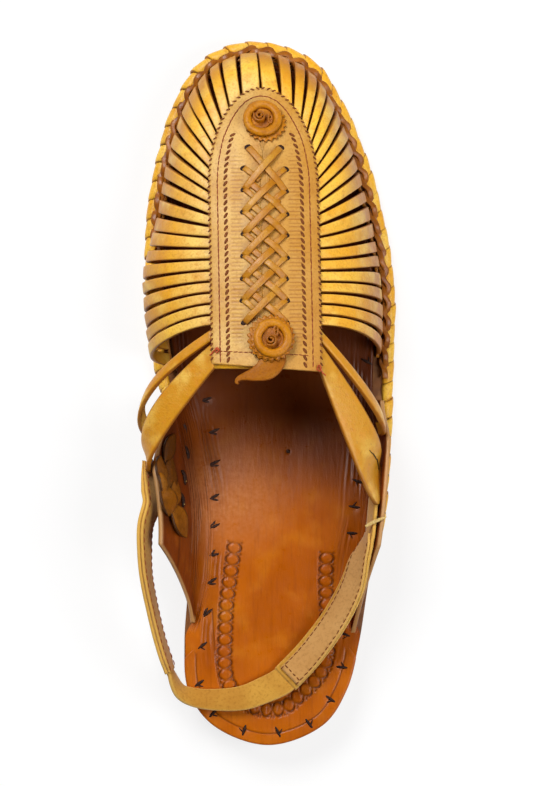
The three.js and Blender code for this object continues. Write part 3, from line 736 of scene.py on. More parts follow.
class Finish:
    """One material while its nodes are laid out."""

    def __init__(self, name, **fixed):
        self.material = bpy.data.materials.new(name)
        self.material.use_nodes = True
        self.tree = self.material.node_tree
        self.shader = self.tree.nodes["Principled BSDF"]
        self.place = self.node("ShaderNodeTexCoord").outputs["Object"]
        for socket, value in fixed.items():
            self.shader.inputs[socket.replace("_", " ")].default_value = value

    def node(self, kind, **inputs):
        node = self.tree.nodes.new(kind)
        for socket, value in inputs.items():
            self.feed(node.inputs[socket.replace("_", " ")], value)
        return node

    def feed(self, socket, value):
        if isinstance(value, bpy.types.NodeSocket):
            self.tree.links.new(value, socket)
        else:
            socket.default_value = value

    def set(self, socket, value):
        self.feed(self.shader.inputs[socket], value)

    def attribute(self, name):
        node = self.node("ShaderNodeAttribute")
        node.attribute_name = name
        return node.outputs["Fac"]

    def stretched(self, scale, turn=0.0):
        node = self.node("ShaderNodeMapping", Vector=self.place, Scale=scale, Rotation=(0, 0, turn))
        return node.outputs["Vector"]

    def noise(self, scale, detail=3.0, place=None):
        node = self.node(
            "ShaderNodeTexNoise", Vector=place or self.place, Scale=scale, Detail=detail,
            Roughness=NOISE_ROUGHNESS,
        )
        return node.outputs["Fac"]

    def cells(self, scale):
        node = self.node("ShaderNodeTexVoronoi", Vector=self.place, Scale=scale)
        node.feature = "DISTANCE_TO_EDGE"
        return node.outputs["Distance"]

    def span(self, value, low, high, to_low=0.0, to_high=1.0):
        node = self.node("ShaderNodeMapRange", Value=value)
        for socket, number in (
            ("From Min", low), ("From Max", high), ("To Min", to_low), ("To Max", to_high),
        ):
            node.inputs[socket].default_value = number
        return node.outputs["Result"]

    def product(self, a, b):
        node = self.node("ShaderNodeMath")
        node.operation = "MULTIPLY"
        self.feed(node.inputs[0], a)
        self.feed(node.inputs[1], b)
        return node.outputs[0]

    def blend(self, a, b, share):
        node = self.node("ShaderNodeMix")
        node.data_type = "RGBA"
        self.feed(node.inputs["Factor"], share)
        self.feed(node.inputs[6], a)
        self.feed(node.inputs[7], b)
        return node.outputs[2]

    def tint(self, base, shade, value, low, high, most):
        """Base colour that goes over to a shade as the value goes from low to high."""
        return self.blend(base, colour(*shade), self.span(value, low, high, 0, most))

    def rough(self, value, low, high):
        self.set("Roughness", self.span(value, *NOISE_MIDDLE, low, high))

    def bump(self, height, strength, distance, below=None):
        node = self.node("ShaderNodeBump", Height=height, Strength=strength, Distance=distance)
        if below:
            self.tree.links.new(below, node.inputs["Normal"])
        return node.outputs["Normal"]


def colour(r, g, b):
    """Linear colour from a screen colour of 0 to 255."""
    parts = [c / 255 for c in (r, g, b)]
    return tuple(p / 12.92 if p <= 0.04045 else ((p + 0.055) / 1.055) ** 2.4 for p in parts) + (1.0,)


def strip_leather(name, dark, light, wear_and_sheen, stain, cut=(140, 72, 14), shine=0.38):
    """Smooth yellow leather, pale or deep as mark is above or below 0 (painted highlight and shade on the
    fanned strips), and brown along its cut edges.
    """
    f = Finish(name, Coat_Weight=0.37 * shine, Coat_Roughness=0.3, Specular_IOR_Level=shine)
    base = f.blend(colour(*dark), colour(*light), f.attribute("tone"))
    # Pale where mark is above 0 and deep where it is below 0: painted highlight and shade on the fanned
    # strips, and the bands' own deeper colour.
    base = f.tint(base, (244, 208, 132), f.attribute("mark"), 0, 1, 0.8)
    base = f.tint(base, (160, 86, 2), f.attribute("mark"), 0, -1, 0.8)
    base = f.tint(base, wear_and_sheen, f.noise(90, 2), 0.5, 0.72, 0.5)
    base = f.tint(base, stain, f.noise(160, 4), 0.52, 0.74, 0.6)
    base = f.tint(base, (168, 94, 26), f.noise(620, 2), 0.58, 0.76, 0.4)
    base = f.tint(base, stain, f.noise(1300, 2), 0.5, 0.72, 0.5)
    base = f.tint(base, cut, f.attribute("edge"), 0.86, 1.0, 0.8)
    f.set("Base Color", base)
    f.rough(f.noise(300, 3), 0.34, 0.52)
    grain = f.bump(f.cells(900), 0.4, 0.0004)
    f.set("Normal", f.bump(f.noise(260, 3), 0.4, 0.0008, grain))
    return f.material


def panel_leather():
    """Pale half-matt leather, deeper on the lateral side, with dark comb lines."""
    f = Finish("panel leather", Coat_Weight=0.08, Coat_Roughness=0.35, Specular_IOR_Level=0.4)
    base = f.blend(colour(204, 150, 58), colour(222, 178, 96), f.span(f.noise(60, 3), 0.35, 0.65))
    sideways = f.node("ShaderNodeSeparateXYZ", Vector=f.place).outputs["X"]
    base = f.tint(base, (192, 126, 28), sideways, -0.012, 0.02, 0.7)
    base = f.tint(base, (180, 116, 32), f.noise(130, 4), 0.5, 0.75, 0.55)
    base = f.tint(base, (170, 106, 30), f.noise(1100, 2), 0.5, 0.7, 0.5)
    base = f.tint(base, (168, 104, 30), f.attribute("edge"), 0.86, 1.0, 0.75)
    comb = f.attribute("mark")
    f.set("Base Color", f.tint(base, (150, 90, 26), comb, 0, 1, 0.85))
    f.rough(f.noise(240, 3), 0.42, 0.6)
    grain = f.bump(f.cells(1000), 0.25, 0.0003)
    f.set("Normal", f.bump(f.noise(320, 4), 0.25, 0.0005, grain))
    return f.material


def insole_leather(name, coat, shine):
    """Waxed orange-tan leather, with painted shade that darkens it to the front and a painted sheen at the
    waist.
    """
    f = Finish(name, Coat_Weight=coat, Coat_Roughness=0.22, Specular_IOR_Level=shine)
    base = f.blend(colour(190, 98, 5), colour(170, 82, 4), f.span(f.noise(40, 3), 0.35, 0.65))
    base = f.tint(base, (198, 116, 24), f.noise(95, 4), 0.52, 0.76, 0.55)
    streaks = f.noise(1.0, 4, place=f.stretched((700, 60, 120)))
    base = f.tint(base, (128, 56, 6), streaks, 0.52, 0.74, 0.32)
    # Painted shade along the bend by the ears and up the turned-up leather.
    base = f.tint(base, (88, 32, 4), f.attribute("edge"), 0, 1, 0.75)
    forward = f.node("ShaderNodeSeparateXYZ", Vector=f.place).outputs["Y"]
    # Painted shade: darker towards the front, up to the throat.
    base = f.tint(base, (62, 20, 4), forward, -0.06, -0.006, 0.85)
    away = f.node("ShaderNodeVectorMath", Vector=f.stretched(SHEEN_SCALE))
    away.operation = "DISTANCE"
    away.inputs[1].default_value = SHEEN_CENTRE
    sheen_spot = f.span(away.outputs["Value"], 0.1, 1.0, 1, 0)
    wear_and_sheen = f.product(sheen_spot, f.span(f.noise(700, 3), *NOISE_MIDDLE, 0.35, 1))
    # Painted sheen: a pale patch at the waist that stands for the gloss of light on the leather.
    base = f.tint(base, (214, 150, 104), wear_and_sheen, 0, 1, 0.36)
    # Dark marks: the stamped chain, the scored line and the nail, and painted shade in the grooves of the
    # creases.
    f.set("Base Color", f.tint(base, (50, 16, 4), f.attribute("mark"), 0, 1, 0.85))
    f.rough(f.noise(220, 3), 0.26, 0.42)
    grain = f.bump(f.cells(1100), 0.12, 0.0002)
    f.set("Normal", f.bump(f.noise(1.0, 4, place=f.stretched((520, 110, 200))), 0.25, 0.0006, grain))
    return f.material


def ear_leather():
    """Streaked brown leather with a pale cut edge."""
    f = Finish("ear leather", Coat_Weight=0.1, Coat_Roughness=0.32, Specular_IOR_Level=0.3)
    base = f.blend(colour(134, 60, 5), colour(106, 42, 3), f.span(f.noise(50, 3), 0.35, 0.65))
    base = f.tint(base, (160, 88, 22), f.noise(150, 4), 0.55, 0.78, 0.5)
    streaks = f.noise(1.0, 4, place=f.stretched((560, 50, 400)))
    base = f.tint(base, (74, 28, 4), streaks, 0.5, 0.74, 0.7)
    # Painted shade where mark is set: low on the ears and behind the woven leaves.
    base = f.tint(base, (66, 25, 4), f.attribute("mark"), 0, 1, 0.8)
    base = f.tint(base, (200, 150, 92), f.attribute("edge"), 0.95, 1.0, 0.85)
    f.set("Base Color", base)
    f.rough(f.noise(220, 3), 0.32, 0.5)
    grain = f.bump(f.cells(1000), 0.12, 0.0002)
    f.set("Normal", f.bump(streaks, 0.35, 0.0008, grain))
    return f.material


def sole_leather():
    """Raw edge of layered leather, with dark seams."""
    f = Finish("sole leather", Specular_IOR_Level=0.35)
    layers = f.noise(1.0, 4, place=f.stretched((60, 60, 1600)))
    base = f.blend(colour(150, 96, 48), colour(116, 68, 30), f.span(layers, 0.35, 0.65))
    base = f.tint(base, (178, 124, 70), f.noise(180, 4), 0.52, 0.76, 0.6)
    base = f.tint(base, (74, 40, 18), f.attribute("mark"), 0, 1, 0.8)
    f.set("Base Color", base)
    f.rough(f.noise(300, 3), 0.55, 0.78)
    fibre = f.bump(layers, 0.3, 0.0006)
    f.set("Normal", f.bump(f.noise(900, 3), 0.25, 0.0003, fibre))
    return f.material


def ribbon_leather():
    """Dyed glossy leather, dark along its edges."""
    f = Finish("ribbon leather", Coat_Weight=0.1, Coat_Roughness=0.35, Specular_IOR_Level=0.3)
    base = f.blend(colour(172, 102, 28), colour(136, 74, 16), f.span(f.noise(140, 3), 0.35, 0.65))
    base = f.tint(base, (190, 124, 40), f.noise(420, 3), 0.55, 0.75, 0.5)
    base = f.tint(base, (70, 30, 10), f.attribute("edge"), 0.8, 1.0, 0.85)
    f.set("Base Color", base)
    f.rough(f.noise(300, 3), 0.26, 0.42)
    f.set("Normal", f.bump(f.noise(500, 3), 0.3, 0.0005))
    return f.material


def suede(name, light, dark, deep):
    """Napped matt leather, deeper where the tone is low, with a pale cut edge."""
    f = Finish(name, Sheen_Weight=0.25, Sheen_Roughness=0.5, Specular_IOR_Level=0.2)
    nap = f.noise(1.0, 4, place=f.stretched((900, 900, 900)))
    base = f.blend(colour(*light), colour(*dark), f.span(f.noise(70, 4), 0.35, 0.68))
    base = f.blend(base, colour(*deep), f.span(f.attribute("tone"), 0, 1, 0.6, 0))
    base = f.tint(base, deep, nap, 0.5, 0.75, 0.55)
    base = f.tint(base, deep, f.attribute("mark"), 0, 1, 0.7)
    base = f.tint(base, (226, 178, 84), f.attribute("edge"), 0.88, 1.0, 0.75)
    f.set("Base Color", base)
    f.rough(nap, 0.72, 0.92)
    f.set("Normal", f.bump(nap, 0.35, 0.0004))
    return f.material


def thread(name, light, dark):
    """Twisted thread."""
    f = Finish(name, Specular_IOR_Level=0.3)
    twist = f.noise(1.0, 2, place=f.stretched((1800, 900, 1800), 0.6))
    f.set("Base Color", f.blend(colour(*light), colour(*dark), f.span(twist, 0.35, 0.65)))
    f.rough(twist, 0.6, 0.8)
    f.set("Normal", f.bump(twist, 0.5, 0.0002))
    return f.material


def studio_floor():
    """Pale floor with a glow of its own, which keeps it white."""
    f = Finish("studio floor", Specular_IOR_Level=0.1, Emission_Strength=0.78)
    f.shader.inputs["Emission Color"].default_value = (1.0, 1.0, 1.0, 1.0)
    f.set("Base Color", f.blend(colour(128, 128, 128), colour(134, 134, 134), f.noise(6, 2)))
    f.rough(f.noise(20, 2), 0.8, 0.9)
    return f.material


STRIP = strip_leather(
    "strip leather", (240, 170, 24), (255, 202, 68), (255, 220, 108), (216, 134, 14), shine=0.32
)
ROSETTE = strip_leather(
    "rosette leather", (180, 104, 2), (202, 130, 12), (218, 158, 40), (140, 72, 2), shine=0.22
)
TAB = strip_leather(
    "tab leather", (156, 86, 2), (168, 102, 10), (182, 122, 26), (118, 62, 2), shine=0.12
)
THONG = strip_leather("thong leather", (184, 116, 10), (200, 140, 30), (214, 166, 66), (154, 86, 6))
PANEL = panel_leather()
INSOLE = insole_leather("insole leather", 0.07, 0.16)
BEND = insole_leather("bend leather", 0.02, 0.15)
EAR = ear_leather()
SOLE = sole_leather()
RIBBON = ribbon_leather()
SUEDE = suede("suede strap", (224, 170, 66), (200, 142, 48), (150, 94, 28))
TAN_SUEDE = suede("tan overlay", (218, 166, 98), (202, 148, 80), (158, 106, 54))
# Near black along its cut edges, which also stand for painted shade between the leaves.
WOVEN = strip_leather(
    "woven thong", (84, 44, 4), (156, 92, 12), (142, 98, 38), (72, 34, 3), cut=(38, 15, 2), shine=0.25
)
RED_THREAD = thread("red-brown thread", (158, 80, 44), (120, 48, 22))
BROWN_THREAD = thread("brown thread", (140, 76, 26), (96, 46, 12))
DARK_THREAD = thread("dark thread", (58, 28, 14), (30, 12, 6))
KNOT_THREAD = thread("red thread", (200, 88, 44), (150, 54, 26))
PALE_FIBRE = thread("pale fibre", (226, 196, 130), (196, 158, 84))

BODY = "root"
OUTSOLE_LOW, OUTSOLE_HIGH = (np.array(corner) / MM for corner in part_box("outsole"))
SHIFT = np.array([
    (OUTSOLE_LOW[0] + OUTSOLE_HIGH[0] - EDGE[:, 0].min() - EDGE[:, 0].max()) / 2,
    (OUTSOLE_LOW[1] + OUTSOLE_HIGH[1] - EDGE[:, 1].min() - EDGE[:, 1].max()) / 2,
    0.0,
])


def finish_piece(mesh, material, slot, *nodes):
    """Put a mesh on the part's body, with its finish and the nodes that it stands for; its slot is not used.
    """
    obj = bpy.data.objects.new(mesh.name, mesh)
    bpy.context.scene.collection.objects.link(obj)
    if not mesh.materials:
        mesh.materials.append(material)
    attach(obj, BODY)
    if nodes:
        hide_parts(*nodes)


def skin_piece(name, skin, material, slot, *nodes, weld=WELD, **marks):
    """Piece of a single skin."""
    pile = Pile()
    pile.add(skin, **marks)
    pile.piece(name, material, slot, *nodes, weld=weld)


# Small shapes laid along a path: stitches, scales of the edge plait, dark dots painted as the shade in
# holes, and nails.
def laid_tree():
    """Tree that sets a shape at each point and turns it by the point's own directions."""
    tree = bpy.data.node_groups.new("laid along", "GeometryNodeTree")
    sockets = (
        ("Places", "NodeSocketGeometry"), ("Shape", "NodeSocketObject"), ("Length", "NodeSocketFloat"),
        ("Width", "NodeSocketFloat"), ("Height", "NodeSocketFloat"), ("Wobble", "NodeSocketFloat"),
        ("Seed", "NodeSocketInt"), ("Finish", "NodeSocketMaterial"),
    )
    for name, kind in sockets:
        tree.interface.new_socket(name, in_out="INPUT", socket_type=kind)
    tree.interface.new_socket("Laid", in_out="OUTPUT", socket_type="NodeSocketGeometry")
    new, link = tree.nodes.new, tree.links.new
    given = new("NodeGroupInput").outputs
    result = new("NodeGroupOutput")

    def stored(name, kind):
        node = new("GeometryNodeInputNamedAttribute")
        node.data_type = kind
        node.inputs["Name"].default_value = name
        return node.outputs["Attribute"]

    axes = new("FunctionNodeAxesToRotation")
    axes.primary_axis, axes.secondary_axis = "Z", "X"
    link(stored("face", "FLOAT_VECTOR"), axes.inputs["Primary Axis"])
    link(stored("along", "FLOAT_VECTOR"), axes.inputs["Secondary Axis"])
    least = new("ShaderNodeMath")
    least.operation = "MULTIPLY"
    least.inputs[1].default_value = -1
    link(given["Wobble"], least.inputs[0])
    luck = new("FunctionNodeRandomValue")
    luck.data_type = "FLOAT"
    link(least.outputs[0], luck.inputs[2])
    link(given["Wobble"], luck.inputs[3])
    link(given["Seed"], luck.inputs["Seed"])
    turn = new("FunctionNodeAxisAngleToRotation")
    turn.inputs["Axis"].default_value = (0, 0, 1)
    link(luck.outputs[1], turn.inputs["Angle"])
    turned = new("FunctionNodeRotateRotation")
    turned.rotation_space = "LOCAL"
    link(axes.outputs["Rotation"], turned.inputs["Rotation"])
    link(turn.outputs["Rotation"], turned.inputs["Rotate By"])
    size = new("ShaderNodeCombineXYZ")
    for axis, name in zip("XYZ", ("Length", "Width", "Height")):
        link(given[name], size.inputs[axis])
    scaled = new("ShaderNodeVectorMath")
    scaled.operation = "SCALE"
    link(size.outputs[0], scaled.inputs[0])
    link(stored("size", "FLOAT"), scaled.inputs["Scale"])
    shape = new("GeometryNodeObjectInfo")
    link(given["Shape"], shape.inputs["Object"])
    spread = new("GeometryNodeInstanceOnPoints")
    link(given["Places"], spread.inputs["Points"])
    link(shape.outputs["Geometry"], spread.inputs["Instance"])
    link(turned.outputs["Rotation"], spread.inputs["Rotation"])
    link(scaled.outputs["Vector"], spread.inputs["Scale"])
    real = new("GeometryNodeRealizeInstances")
    link(spread.outputs["Instances"], real.inputs["Geometry"])
    finish = new("GeometryNodeSetMaterial")
    link(real.outputs["Geometry"], finish.inputs["Geometry"])
    link(given["Finish"], finish.inputs["Material"])
    link(finish.outputs["Geometry"], result.inputs["Laid"])
    return tree


LAID = laid_tree()
PLAIN_SIZE = (1.0, 1.0, 1.0)


def laid(
    name, spots, shape, material, slot, *nodes, size=PLAIN_SIZE, wobble=0.0, seed=1, each=1.0, tone=0.5
):
    """Piece of a small shape set at each spot, turned along the path and off the surface."""
    places, along, face = spots
    places = np.asarray(places, float).reshape(-1, 3)
    count = len(places)
    markers = bpy.data.meshes.new(name + " places")
    markers.from_pydata(((places + SHIFT) * MM).tolist(), [], [])
    for label, vectors in (("along", along), ("face", face)):
        values = np.broadcast_to(np.asarray(vectors, float), (count, 3)).astype(np.float32)
        markers.attributes.new(label, "FLOAT_VECTOR", "POINT").data.foreach_set("vector", values.ravel())
    for label, numbers in (("size", each), ("tone", tone)):
        store_mark(markers, label, np.broadcast_to(np.asarray(numbers, float), (count,)))
    points, faces, *edge = shape
    pattern = bpy.data.meshes.new(name + " shape")
    pattern.from_pydata((np.asarray(points) * MM).tolist(), [], faces)
    if edge:
        store_mark(pattern, "edge", edge[0])
    pattern.shade_smooth()
    model = bpy.data.objects.new(name + " shape", pattern)
    holder = bpy.data.objects.new(name + " places", markers)
    for obj in (model, holder):
        bpy.context.scene.collection.objects.link(obj)
    modifier = holder.modifiers.new("laid along", "NODES")
    modifier.node_group = LAID
    given = dict(zip(("Length", "Width", "Height"), size))
    given.update(Shape=model, Wobble=wobble, Seed=seed, Finish=material)
    for socket in LAID.interface.items_tree:
        if socket.in_out == "INPUT" and socket.name in given:
            modifier[socket.identifier] = given[socket.name]
    graph = bpy.context.evaluated_depsgraph_get()
    mesh = bpy.data.meshes.new_from_object(holder.evaluated_get(graph), depsgraph=graph)
    mesh.name = name
    holder.modifiers.remove(modifier)
    for obj in (model, holder):
        bpy.data.objects.remove(obj)
    weld_mesh(mesh, LAID_WELD * MM)
    mesh.shade_smooth()
    finish_piece(mesh, material, slot, *nodes)


def stitch_shape():
    """One stitch, 1 long, 1 wide and 1 high, that comes out of the leather and dips back in."""
    loops = []
    for share in np.linspace(-1, 1, 7):
        swell = max(1 - abs(share) ** 3, 0.25)
        angle = np.linspace(0, TURN, 7)[:-1]
        y = 0.5 * swell * np.cos(angle)
        z = 0.5 * swell * np.sin(angle) + 0.5 * (1 - share * share) - 0.35
        loops.append(np.stack([np.full(6, share / 2), y, z], 1))
    return tube(loops)


def dot_shape():
    """Low round dot, 1 across and 1 high."""
    loops = []
    for reach, height in ((0.5, -0.6), (0.5, 0.0), (0.36, 0.35), (0.12, 0.5)):
        angle = np.linspace(0, TURN, 11)[:-1]
        loops.append(np.stack([reach * np.cos(angle), reach * np.sin(angle), np.full(10, height)], 1))
    return tube(loops)


def scale_shape(length, slant):
    """One turn of the edge lacing: a short strip wrapped from the top of the sole's edge to below it."""
    steps, wide = 10, 7
    turn = np.radians(np.linspace(138, -82, steps))
    share = np.linspace(0, 1, steps)
    grids = []
    for lift in (0.0, -SCALE_THICK):
        rows = []
        for across in np.linspace(-0.5, 0.5, wide):
            rise = lift + 0.7 * (0.5 - across) - 0.45 * (2 * across) ** 4
            x = length * across + slant * (0.5 - share)
            y = 0.45 + (2.3 + rise) * np.cos(turn)
            z = -1.2 + (2.35 + rise) * np.sin(turn)
            rows.append(np.stack([x, y, z], 1))
        grids.append(np.array(rows))
    points, faces = shell(*grids)
    return points, faces, np.tile(np.repeat(np.abs(np.linspace(-1, 1, wide)), steps), 2)


STITCH = stitch_shape()
DOT = dot_shape()


# Sole layers: rounded rings around the outline, closed by ruled faces.
def rounded_side(radius, steps=4):
    """Rows of a layer's side: inset, share of its thickness and rise."""
    angles = np.radians(np.linspace(-90, 0, steps))
    low = [(radius * (1 - math.cos(a)), 0.0, radius * (1 + math.sin(a))) for a in angles]
    high = [(radius * (1 - math.cos(a)), 1.0, -radius * (1 - math.sin(a))) for a in -angles[::-1]]
    return low + high


def slab(
    stations, inset, bottom, top, side, columns, relief=None, breast=False, side_mark=None, under=None
):
    """Layer of the sole over the stations, with a relief on its top face where one is given."""
    shares = [edge_share(stations, name) for name in SIDES]
    if stations[0] <= EDGE[0, 1] + 1e-6:
        shares[0][0], shares[1][0] = 0.0, 1.0
    edges = [at_share(EDGE, share) for share in shares]
    ways = [at_share(EDGE_IN, share) for share in shares]
    across = np.linspace(0, 1, columns + 1)
    if breast:
        front = lerp(edges[0][-1], edges[1][-1], across[1:-1, None])
        loop = np.concatenate([edges[0], front, edges[1][::-1]])
        way = np.concatenate([ways[0], np.tile((0.0, -1.0), (columns - 1, 1)), ways[1][::-1]])
    else:
        loop = np.concatenate([edges[0], edges[1][::-1]])
        way = np.concatenate([ways[0], ways[1][::-1]])
    rings, ring_marks = [], []
    for extra, share, added in side:
        place = loop + way * (inset(loop[:, 1]) + extra)[:, None]
        low, high = bottom(place[:, 1]), top(place[:, 1])
        rings.append(np.column_stack([place, lerp(low, high, share) + added]))
        ring_marks.append(np.full(len(loop), side_mark(share, added) if side_mark else 0.0))
    pile = Pile()
    pile.add((rings, grid_faces(len(rings), len(loop), wrap=True)), mark=np.concatenate(ring_marks))
    count = len(stations)
    for ring, upper in ((rings[0], False), (rings[-1], True)):
        left, right = ring[:count], ring[::-1][:count]
        spread = across if upper or not under else np.linspace(0, 1, under + 1)
        grid = lerp(left[:, None], right[:, None], spread[None, :, None])
        marks = {}
        if upper and relief:
            depth, marks = relief(grid[..., 0], grid[..., 1])
            grid[..., 2] += depth
        faces = grid_faces(count, len(spread))
        pile.add((grid, faces if upper else [face[::-1] for face in faces]), **marks)
    return pile


def near_edge(x, y):
    """Distance to the outsole's edge, worked out for some thousands of points at a time."""
    points = np.stack([x.ravel(), y.ravel()], 1)
    trace = EDGE[::4]
    step = 4000
    out = np.empty(len(points))
    for i in range(0, len(points), step):
        gap = points[i : i + step, None] - trace[None]
        out[i : i + step] = np.sqrt((gap**2).sum(-1).min(1))
    return out.reshape(x.shape)


def stamped_chain(x, y):
    """Depth and darkness of the round stamps along the chain."""
    path = spline(CHAIN, 30)
    centres = evenly(path, int(run_length(path)[-1] / CHAIN_PITCH) + 1)
    along = unit(np.gradient(centres, axis=0))
    depth = np.zeros_like(x)
    dark = np.zeros_like(x)
    for (cx, cy), (tx, ty) in zip(centres, along):
        near = (np.abs(x - cx) < STAMP_REACH) & (np.abs(y - cy) < STAMP_REACH)
        dx, dy = x[near] - cx, y[near] - cy
        u, v = dx * tx + dy * ty, dx * ty - dy * tx
        reach = np.hypot(u, STAMP_LONG * v)
        groove = hump(reach - STAMP_RING, STAMP_CUT) * (0.4 + 0.6 * ramp(np.abs(v), 0.2, 2.4))
        dome = STAMP_DOME * np.clip(1 - (reach / 1.7) ** 2, 0, 1)
        horn = np.exp(-(((np.abs(v) - 2.7) / 0.55) ** 2) - ((np.abs(u) - 2.2) / 0.42) ** 2)
        cut = np.maximum(groove, 0.8 * horn)
        depth[near] = np.minimum(depth[near], -STAMP_DEPTH * cut) + dome
        dark[near] = np.maximum(dark[near], cut)
    return depth, dark


def dent(x, y, spot, spread):
    """Depth of a small round hollow."""
    return np.exp(-(((x - spot[0]) ** 2 + (y - spot[1]) ** 2) / spread))


def insole_relief(x, y):
    """Depth of the insole's face, with its dark marks and its painted shade towards the ears."""
    inside = near_edge(x, y)
    depth, dark = stamped_chain(x, y)
    scored = hump(inside - SCORE_INSET, 0.28) * ramp(y, -84, -92)
    line_x = np.interp(y, [-117, -107, -95, -85], [-18.5, -20.4, -21.4, -21.8])
    scored = np.maximum(scored, hump(x - line_x, 0.25) * (y > -117) * (y < -86))
    for spot in THREAD_MARKS:
        depth -= THREAD_DENT * dent(x, y, spot, 3.2)
    bend = hump(inside - WRINKLE_INSET, WRINKLE_WIDE) * ramp(y, -112, -90)
    patches = np.clip(waves(x, y * 0.3, 12, 6) + 0.6, 0, 1)
    crease = np.sin(inside * 3.3 + 1.6 * waves(x, y * 0.25, 9, 5)) * patches
    depth += WRINKLE_DEEP * bend * crease
    depth += UNEVEN * waves(x, y, 26, 7) * ramp(inside, 6, 12)
    hold = ramp(inside - insole_inset(y), 0.8, 2.2)
    nail = dent(x, y, NAIL_HOLE, 0.5)
    depth = (depth - SCORE_DEEP * scored - NAIL_DEEP * nail) * hold
    # Painted shade in the grooves of the creases, and along the bend by the ears.
    wrinkle = 0.6 * bend * ramp(-crease, 0.2, 0.9)
    mark = np.maximum(np.maximum(dark, wrinkle), np.maximum(nail, 0.75 * scored)) * hold
    edge = bend * (0.35 + 0.35 * np.clip(crease, -1, 1))
    return depth, dict(mark=mark.ravel(), edge=edge.ravel())


def level(height):
    """A surface at one height."""
    return lambda y: np.full_like(y, height)


def heel_seam(share, added):
    """Dark mark in the grooves between the heel's layers."""
    return 1.0 if 0 < share < 1 and abs(added) < 0.1 else 0.0


def make_sole():
    heel_end, toe_end = EDGE[0, 1], EDGE[TOE, 1]
    stations = lerp(heel_end, toe_end, (1 - np.cos(np.pi * np.linspace(0, 1, 111))) / 2)
    outsole = slab(stations, level(0), sole_bottom, sole_top, rounded_side(OUTSOLE_ROUND), 16)
    outsole.piece("outsole_leather", SOLE, "sole_leather", "outsole")

    stations = lerp(heel_end, HEEL_BREAST, 1 - np.cos(np.pi / 2 * np.linspace(0, 1, 61)))
    side = [(0.5, 0.0, 0.0), (0.1, 0.0, 0.3), (0.0, 0.0, 0.6)]
    for seam in HEEL_SEAMS:
        side += [(0.0, seam, -0.3), (0.35, seam, -0.08), (0.35, seam, 0.08), (0.0, seam, 0.3)]
    side += [(0.0, 1.0, -0.3), (0.2, 1.0, 0.0)]
    heel = slab(
        stations, level(HEEL_INSET), level(0), level(HEEL_LIFT - GAP), side, 14,
        breast=True, side_mark=heel_seam,
    )
    heel.piece("heel_stack", SOLE, "sole_leather", "heel")

    near = lerp(heel_end, -134, 1 - np.cos(np.pi / 2 * np.linspace(0, 1, 24)))
    middle = np.arange(-133.5, 10, 0.52)
    far = lerp(10, toe_end, np.sin(np.pi / 2 * np.linspace(0, 1, 70)))
    insole = slab(
        np.concatenate([near, middle, far]), insole_inset,
        lambda y: sole_top(y) + GAP, lambda y: sole_top(y) + INSOLE_THICK,
        rounded_side(INSOLE_ROUND), 232, relief=insole_relief, under=12,
    )
    insole.piece("insole_face", INSOLE, "insole_leather", "insole")


make_sole()


# Upper: its base, the fanned strips, the strips that run back to the ears and the margin at the sole.
def strip_start(side, along):
    """Where a strip's edge leaves the base, and its way off the base's edge there."""
    a, y = base_edge(np.clip(along, 0, BASE_LENGTH))
    steep = max(y - TIP_START, 0) * (BASE_HALF / (TIP_END - TIP_START)) ** 2
    off = unit(np.array([SIGN[side] * a, steep, 0.0]))
    return on_base(centre(y) + SIGN[side] * a, y)[0], off


def strip_curve(start, shoulder, hip, end, rise, steps):
    """Run of a strip's edge over its shoulder and hip."""
    reach = np.linalg.norm(end[:2] - start[:2])
    shoulder, hip = shoulder.copy(), hip.copy()
    shoulder[2] = start[2] - SHOULDER_SLOPE * SHOULDER_REACH * reach
    hip[2] = end[2] + rise * (start[2] - end[2])
    return bezier(start, shoulder, hip, end, np.linspace(0, 1, steps))


def cage_edge(side, along, share, bulge, steps):
    """Edge of a fanned strip, swept back along the rim at its end, or straight at the front."""
    start, off = strip_start(side, along)
    end = np.append(rim(share, UPPER_INSET), 0)
    end[2] = sole_top(end[1]) + 3 * GAP
    along_rim = np.append(at_share(EDGE_ALONG, share), 0)
    outward = -np.append(at_share(EDGE_IN, share), 0)
    reach = np.linalg.norm(end[:2] - start[:2])
    sweep = float(np.dot(start[:2] - end[:2], along_rim[:2]))
    straight = STRAIGHT_MOST * float(ramp(end[1], STRAIGHT_FROM, STRAIGHT_FULL))
    direct = unit(np.append((end - start)[:2], 0.0))
    shoulder = start + unit(lerp(off, direct, straight)) * SHOULDER_REACH * reach
    hip = end + outward * bulge + along_rim * STRIP_SWEEP * (1 - straight) * sweep
    return strip_curve(start, shoulder, hip, end, HIP_RISE, steps)


def rear_edge(side, row, steps):
    """Edge of a strip that runs back to an ear, bowed out on its way."""
    kind = REAR_STRIPS[side]
    along, at, up, bow = row
    start, _ = strip_start(side, along)
    end = on_ear(side, at, up, kind["face"] * (EAR_HALF + 2 * GAP + UPPER_THICK / 2))[0]
    out = end[:2] - start[:2]
    reach = np.linalg.norm(out)
    out = out / reach
    aside = bow * np.array([SIGN[side] * abs(out[1]), SIGN[side] * np.sign(-out[1]) * out[0], 0])
    way = np.append(out, 0)
    shoulder = start + way * SHOULDER_REACH * reach + aside
    hip = end + way * kind["sag"] + aside * kind["end_bow"]
    return strip_curve(start, shoulder, hip, end, kind["rise"], steps)


def fan_along(place):
    """Run along the base's edge at a place in the fan, where the front strips start further back."""
    return lerp(STRIPS_FROM, BASE_LENGTH, place - FAN_BACK * place * (1 - place**FAN_LATE))


def strip_bulge(side, y):
    """How far a strip swells out over the sole's edge."""
    swell = BULGE_LATERAL
    if side == "medial":
        swell = lerp(BULGE_TOE, BULGE_MEDIAL, float(ramp(-y, -BULGE_FROM, -BULGE_FULL)))
    return lerp(swell, BULGE_TOE, float(ramp(y, TIP_START, TIP_END)))


